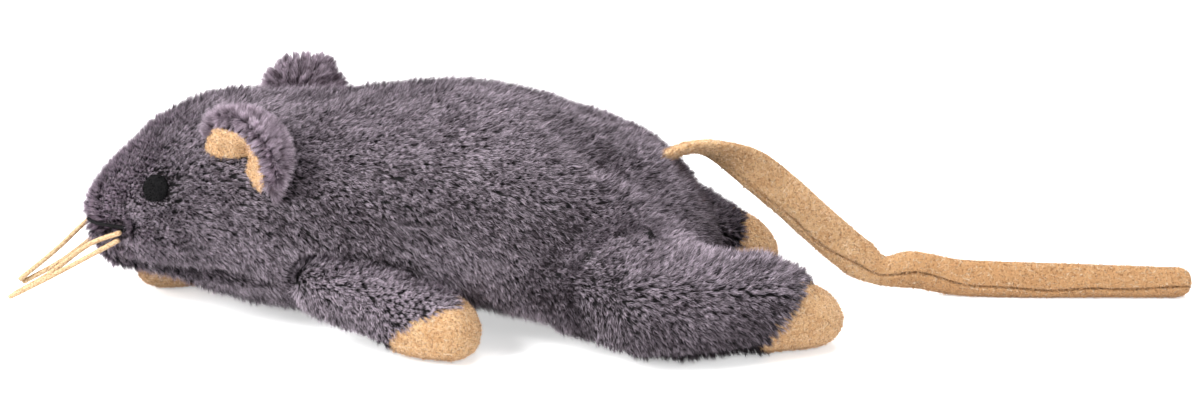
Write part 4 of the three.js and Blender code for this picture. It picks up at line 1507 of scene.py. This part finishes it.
@dataclass
class Ear:
    """A round plush hood with a suede lining, sewn onto the head."""

    side: Side
    voxel: float = 0.9 * MM
    fold: float = 2.6  # how deep the lining is pinched, in millimetres
    pile_room: float = 2.3 * MM  # how far the hood is drawn in for its pile, at most
    stretch: Place = (1.22, 1.05, 1.15)  # of the lining, to where the pile begins
    sewn_from: float = 1.0 * MM
    sewn_to: float = 8.0 * MM

    PILE = Pile(
        EAR_PILE,
        length=3.3 * MM,
        density=48.0,
        width=0.22 * MM,
        tuft=1.3 * MM,
        pull=0.6,
        swirl=0.3,
        stray=0.24,
        spread=0.6,
        seed=90,
    )

    @property
    def body(self) -> str:
        """The body that it rides on."""
        return f"{self.side.word}_ear"

    def build(self) -> list[bpy.types.Object]:
        """Makes the hood, its pile and the lining.

        Returns:
            The pieces.
        """
        hood = remeshed(solid_copy(f"{self.body}_hood", [f"{self.body}_back"]), self.voxel, 8)
        points, normals = points_of(hood.data), normals_of(hood.data)
        coat = self.coat(points, normals)
        deep = np.minimum(coat.depth(self.PILE.length), self.pile_room) * coat.thick
        put_points(hood.data, points - normals * deep[:, None])
        dress(hood, EAR_BACKING)
        lining = remeshed(solid_copy(f"{self.body}_suede", [f"{self.body}_lining"]), 0.5 * MM, 4)
        for piece in (hood, lining):
            points = points_of(piece.data)
            put_points(piece.data, points + self.pinch(points))
        low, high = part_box(f"{self.body}_lining")
        pivot = np.array((high.x, (low.y + high.y) / 2, high.z))
        put_points(lining.data, pivot + (points_of(lining.data) - pivot) * np.array(self.stretch))
        dress(lining, SUEDE)
        coat.lay_on(hood)
        made = [hood, lining]
        made.append(self.sewn(self.PILE.grow(f"{self.body}_pile", hood)))
        made.append(self.sewn(nap(f"{self.body}_nap", lining)))
        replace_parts(self.sewn(hood), f"{self.body}_back")
        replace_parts(self.sewn(lining), f"{self.body}_lining")
        return made

    def sewn(self, piece: bpy.types.Object) -> bpy.types.Object:
        """Bakes a piece of the ear's place into its mesh, so that it stays where it is on the head.

        Args:
            piece: The piece.

        Returns:
            The piece.
        """
        axis = np.array(joint_of(self.body)["axis"])
        away = np.array([0.0, 0.81 * self.side.value, 0.59])
        away = unit(away - axis * axis.dot(away))
        points = points_of(frame["nodes"][f"{self.body}_back"].data)
        root = points[distances(points, Torso.PANELS) < 1.2 * MM].mean(axis=0)
        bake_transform(piece)
        return piece

    def facing(self) -> tuple[np.ndarray, np.ndarray]:
        """The middle of the ear's opening, and which way it faces."""
        low, high = (np.array(corner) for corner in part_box(f"{self.body}_lining"))
        lining = points_of(frame["nodes"][f"{self.body}_lining"].data)
        hood = points_of(frame["nodes"][f"{self.body}_back"].data)
        faces = unit((low + high) / 2 - hood.mean(axis=0))
        return lining.mean(axis=0), faces

    def pinch(self, points: np.ndarray) -> np.ndarray:
        """How the fold at the ear's root draws the lining in.

        Args:
            points: Points of the hood or lining, in rows.

        Returns:
            How far each moves.
        """
        middle, faces = self.facing()
        out = np.array([0.35, 0.45 * self.side.value, 0.82])
        out = unit(out - faces * faces.dot(out))
        beside = np.cross(faces, out)
        away = (points - middle) / MM
        line = smooth(np.abs(away @ beside), 0.0, 2.4)
        run = fade(away @ out, 0.0, 7.0)
        near = fade(distances(points, [f"{self.body}_lining"]) / MM, 1.0, 3.0)
        return -faces * (self.fold * MM * (1 - line) * run * near)[:, None]

    def coat(self, points: np.ndarray, normals: np.ndarray) -> Coat:
        """How the ear's pile lies: outwards from the lining's edge, and none where the lining is, with painted light
        on top and painted shade on the far ear.

        Args:
            points: The hood's points, in rows.
            normals: Its normals there.

        Returns:
            The coat.
        """
        outward = unit(points - middle_of(f"{self.body}_lining"))
        lining = distances(points, [f"{self.body}_lining"]) / MM
        rim = fade(lining, 2.5, 5.0)
        lean = 0.4 + 0.4 * rim - 0.7 * fade(lining, 0.6, 2.2)
        comb = combed(unit(outward + np.array([0.2, 0.0, 0.5])), normals, lean)
        clear = smooth(lining, 0.4, 1.0)
        # painted light and shade: lighter on top, darker all over on the right ear, on the far side; paler at the
        # rim
        shade = (0.4 if self.side is Side.LEFT else 0.22) + 0.2 * rim + 0.12 * normals[:, 2]
        return Coat(comb, 0.7 + 0.3 * clear, shade, clear, normals, 3)


@dataclass
class Eye:
    """A small dot of black felt."""

    side: Side
    fullness: Place = (1.24, 1.1, 1.0)  # against its solid, so that it stands out of the pile

    def build(self) -> list[bpy.types.Object]:
        """Makes the dot and its nap.

        Returns:
            The pieces.
        """
        node = f"{self.side.word}_eye"
        dot = remeshed(solid_copy(f"{node}_felt", [node]), 0.4 * MM, 5)
        points = points_of(dot.data)
        middle = points.mean(axis=0)
        put_points(dot.data, middle + (points - middle) * np.array(self.fullness))
        dress(dot, FELT)
        fuzz = nap(f"{node}_nap", dot, FELT_NAP, 14.0)
        seated(dot, "torso", [node])
        seated(fuzz, "torso")
        return [dot, fuzz]


@dataclass
class Tail:
    """One strip of suede, folded on itself and sewn, that twists onto its edge and creases where it lands."""

    wide: float = 9.6 * MM
    tip_wide: float = 8.1 * MM
    root_thick: float = 2.6 * MM
    thick: float = 4.8 * MM
    kink_wide: float = 7.2 * MM
    slit_run: tuple[tuple[float, float], ...] = (
        (60.0, -0.68),
        (96.0, -0.68),
        (106.0, -0.3),
        (114.0, 0.0),
        (121.5, 0.05),
        (131.0, -0.12),
        (143.0, -0.3),
        (150.0, -0.34),
        (166.7, -0.24),
        (181.0, -0.06),
        (186.0, 0.0),
    )  # where the fold's open edge runs, along X, from -1 below to 1 above
    root_turn: float = 0.4  # how the strip lies where it is sewn on, in radians from flat
    base_turn: float = 1.85
    end_turn: float = 1.45
    hem_depth: float = 0.55  # how deep that edge is pressed in at the base, against 1 at the end
    rows: int = 190
    bend_reach: float = 3.0 * MM
    bend: Place = (110.5, 7.9, 6.2)
    base_route: tuple[Place, ...] = (
        (57.0, -1.8, 38.0),
        (63.0, -1.5, 40.6),
        (68.0, -0.8, 40.6),
        (76.0, 1.0, 36.6),
        (85.7, 3.2, 28.3),
        (95.2, 5.4, 18.8),
        (104.4, 7.2, 10.2),
    )
    end_route: tuple[Place, ...] = (
        (118.5, 7.8, 6.4),
        (128.0, 7.2, 4.8),
        (138.0, 6.6, 4.4),
        (162.0, 6.2, 4.1),
        (185.2, 6.2, 3.65),
    )

    def build(self) -> list[bpy.types.Object]:
        """Makes the strip and its nap.

        Returns:
            The pieces.
        """
        strip = show("tail_strip", self.strip(), SUEDE)
        subdivided(strip, 1)
        normals = normals_of(strip.data)
        # painted shade: darker towards the tail's end and on its underside, where less light falls, with the nap
        # there darker too
        worn = smooth(points_of(strip.data)[:, 0], 98 * MM, 124 * MM)
        paint(strip.data, "worn", worn * (0.8 + 0.2 * smooth(-normals[:, 2], -0.2, 0.4)))
        fuzz = nap("tail_nap", strip, shade=0.5 - 0.5 * worn)
        for piece in (strip, fuzz):
            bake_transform(piece)
        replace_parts(strip, "tail_base", "tail_end")
        return [strip, fuzz]

    def profile(self, slit: float, depth: float) -> list[tuple[float, float]]:
        """The strip's outline, across and through, each from -1 to 1, with the fold's open edge on its near face.

        Args:
            slit: Where that edge is, across.
            depth: How deep it is, 0 to 1.

        Returns:
            The outline's corners.
        """
        floor, lip = 1 - 0.9 * depth, 1 - 0.12 * depth
        above, below = (1 - slit) / 2, (1 + slit) / 2
        return [
            *((-0.9, -0.8), (-0.5, -1.0), (0.0, -1.0), (0.5, -1.0), (0.88, -0.85)),
            *((1.0, -0.4), (1.0, 0.3), (0.92, 0.8)),
            *((slit + 1.3 * above, 1.0), (slit + 0.7 * above, 1.0), (slit + 0.12, 1.02)),
            *((slit + 0.05, lip), (slit + 0.01, floor), (slit - 0.01, floor), (slit - 0.06, lip - 0.08)),
            *((slit - 0.13, 0.98), (slit - 0.8 * below, 0.95)),
            *((-0.94, 0.7), (-1.0, 0.3), (-1.0, -0.4)),
        ]

    def strip(self) -> bpy.types.Mesh:
        """Sweeps the outline along the tail.

        Returns:
            A closed mesh.
        """
        line = catmull([*self.base_route, self.bend, *self.end_route], self.rows)
        ahead = unit(np.gradient(line, axis=0))
        travelled = travel(line) / MM
        knee = travelled[int(np.argmin(np.linalg.norm(line - np.array(self.bend) * MM, axis=1)))]
        rings = []
        for row, place in enumerate(line):
            far = travelled[row]
            turned = self.root_turn + (self.base_turn - self.root_turn) * float(smooth(far, 5.0, 0.5 * knee))
            turned += (self.end_turn - self.base_turn) * float(smooth(far, knee - 8.0, knee + 12.0))
            level = np.array([0.0, 1.0, 0.0])
            level = unit(level - ahead[row] * level.dot(ahead[row]))
            upright = np.cross(ahead[row], level)
            across = math.sin(turned) * upright - math.cos(turned) * level
            through = np.cross(ahead[row], across)
            pinch = fade(abs(far - knee), 0.5, 7.0)
            full = self.wide + (self.tip_wide - self.wide) * smooth(far, knee + 25.0, travelled[-1])
            wide = full + (self.kink_wide - full) * pinch
            thick = self.root_thick + (self.thick - self.root_thick) * smooth(far, 0.25 * knee, 0.7 * knee)
            past = max(0.0, far - (travelled[-1] - 4.0)) / 4.0
            blunt = math.sqrt(max(0.0, 1 - 0.75 * past * past))
            slit = float(np.interp(place[0] / MM, *zip(*self.slit_run))) + 0.05 * math.sin(far / 3.1 + 1)
            depth = self.hem_depth + (1 - self.hem_depth) * float(smooth(far, knee - 4.0, knee + 12.0))
            ring = []
            for a, f in self.profile(slit, depth):
                f *= 1 - 0.62 * depth * a * a
                ring.append(place + across * a * wide / 2 * blunt + through * f * thick / 2 * (0.55 + 0.45 * blunt))
            rings.append(ring)
        return tube("tail_strip", rings)


@dataclass
class Studio:
    """The camera at the photo's angle, soft lamps, and a pale floor."""

    aim: Place = (42.9, 5.0, 25.3)
    distance: float = 0.700
    elevation: float = 20.0
    lens: float = 88.2

    def camera(self) -> None:
        """Sets up the camera."""
        data = bpy.data.cameras.new("camera")
        data.lens = self.lens
        data.sensor_width = 36.0
        data.clip_start = 0.01
        rise = math.radians(self.elevation)
        back = Vector((0, -math.cos(rise), math.sin(rise)))
        camera = bpy.data.objects.new("camera", data)
        camera.location = Vector(self.aim) * MM + back * self.distance
        camera.rotation_euler = (-back).to_track_quat("-Z", "Y").to_euler()
        bpy.context.scene.collection.objects.link(camera)
        bpy.context.scene.camera = camera

    def lamp(self, name: str, place: Place, size: float, power: float) -> None:
        """Adds a soft square lamp that looks at the mouse.

        Args:
            name: Its name.
            place: Where it hangs, in metres.
            size: Its side, in metres.
            power: Its power, in watts.
        """
        data = bpy.data.lights.new(name, "AREA")
        data.size = size
        data.energy = power
        lamp = bpy.data.objects.new(name, data)
        lamp.location = place
        lamp.rotation_euler = (Vector((0.04, 0.0, 0.02)) - Vector(place)).to_track_quat("-Z", "Y").to_euler()
        bpy.context.scene.collection.objects.link(lamp)

    def build(self) -> None:
        """Lights the mouse and lays the floor."""
        bpy.context.scene.view_settings.view_transform = "Standard"
        self.lamp("key", (-0.85, -0.50, 0.70), 0.5, 21.0)
        self.lamp("top", (0.15, 0.15, 1.1), 0.7, 15.0)
        self.lamp("fill", (0.75, -0.85, 0.5), 0.9, 6.0)
        world = bpy.data.worlds.new("studio")
        bpy.context.scene.world = world
        world.use_nodes = True
        net = Net(world.node_tree)
        ground = world.node_tree.nodes["Background"]
        net.feed(ground.inputs["Color"], (1.0, 1.0, 1.0, 1.0))
        net.feed(ground.inputs["Strength"], net.seen() * 0.8 + 0.2)
        build = bmesh.new()
        bmesh.ops.create_grid(build, x_segments=1, y_segments=1, size=4.0)
        floor = show("floor", mesh_from("floor", build, False))
        floor.location.z = -0.0004
        floor.data.materials.append(self.floor_finish())

    @staticmethod
    def floor_finish() -> bpy.types.Material:
        """A floor that is white to the eye apart from the shadow on it."""
        material = bpy.data.materials.new("floor")
        material.use_nodes = True
        net = Net(material.node_tree)
        shader = material.node_tree.nodes["Principled BSDF"]
        shader.inputs["Base Color"].default_value = (0.9, 0.9, 0.9, 1.0)
        shader.inputs["Roughness"].default_value = 1.0
        shader.inputs["Specular IOR Level"].default_value = 0.0
        net.feed(shader.inputs["Emission Color"], (1.0, 1.0, 1.0, 1.0))
        net.feed(shader.inputs["Emission Strength"], net.seen() * 0.55)
        return material


def main() -> None:
    """Builds the mouse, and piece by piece."""
    logging.basicConfig(level=logging.INFO, format="%(name)s: %(message)s")
    studio = Studio()
    studio.camera()
    makers: list[Any] = [Whiskers(), Torso()]
    for side in Side:
        makers += [*(Limb(side, kind) for kind in LimbKind), Ear(side), Eye(side)]
    for maker in (*makers, Tail()):
        for piece in maker.build():
            LOG.info("%s: %d faces", piece.name, len(piece.data.polygons))
    bpy.data.objects.remove(bpy.data.objects[STRAND])
    studio.build()


if __name__ == "__main__":
    main()
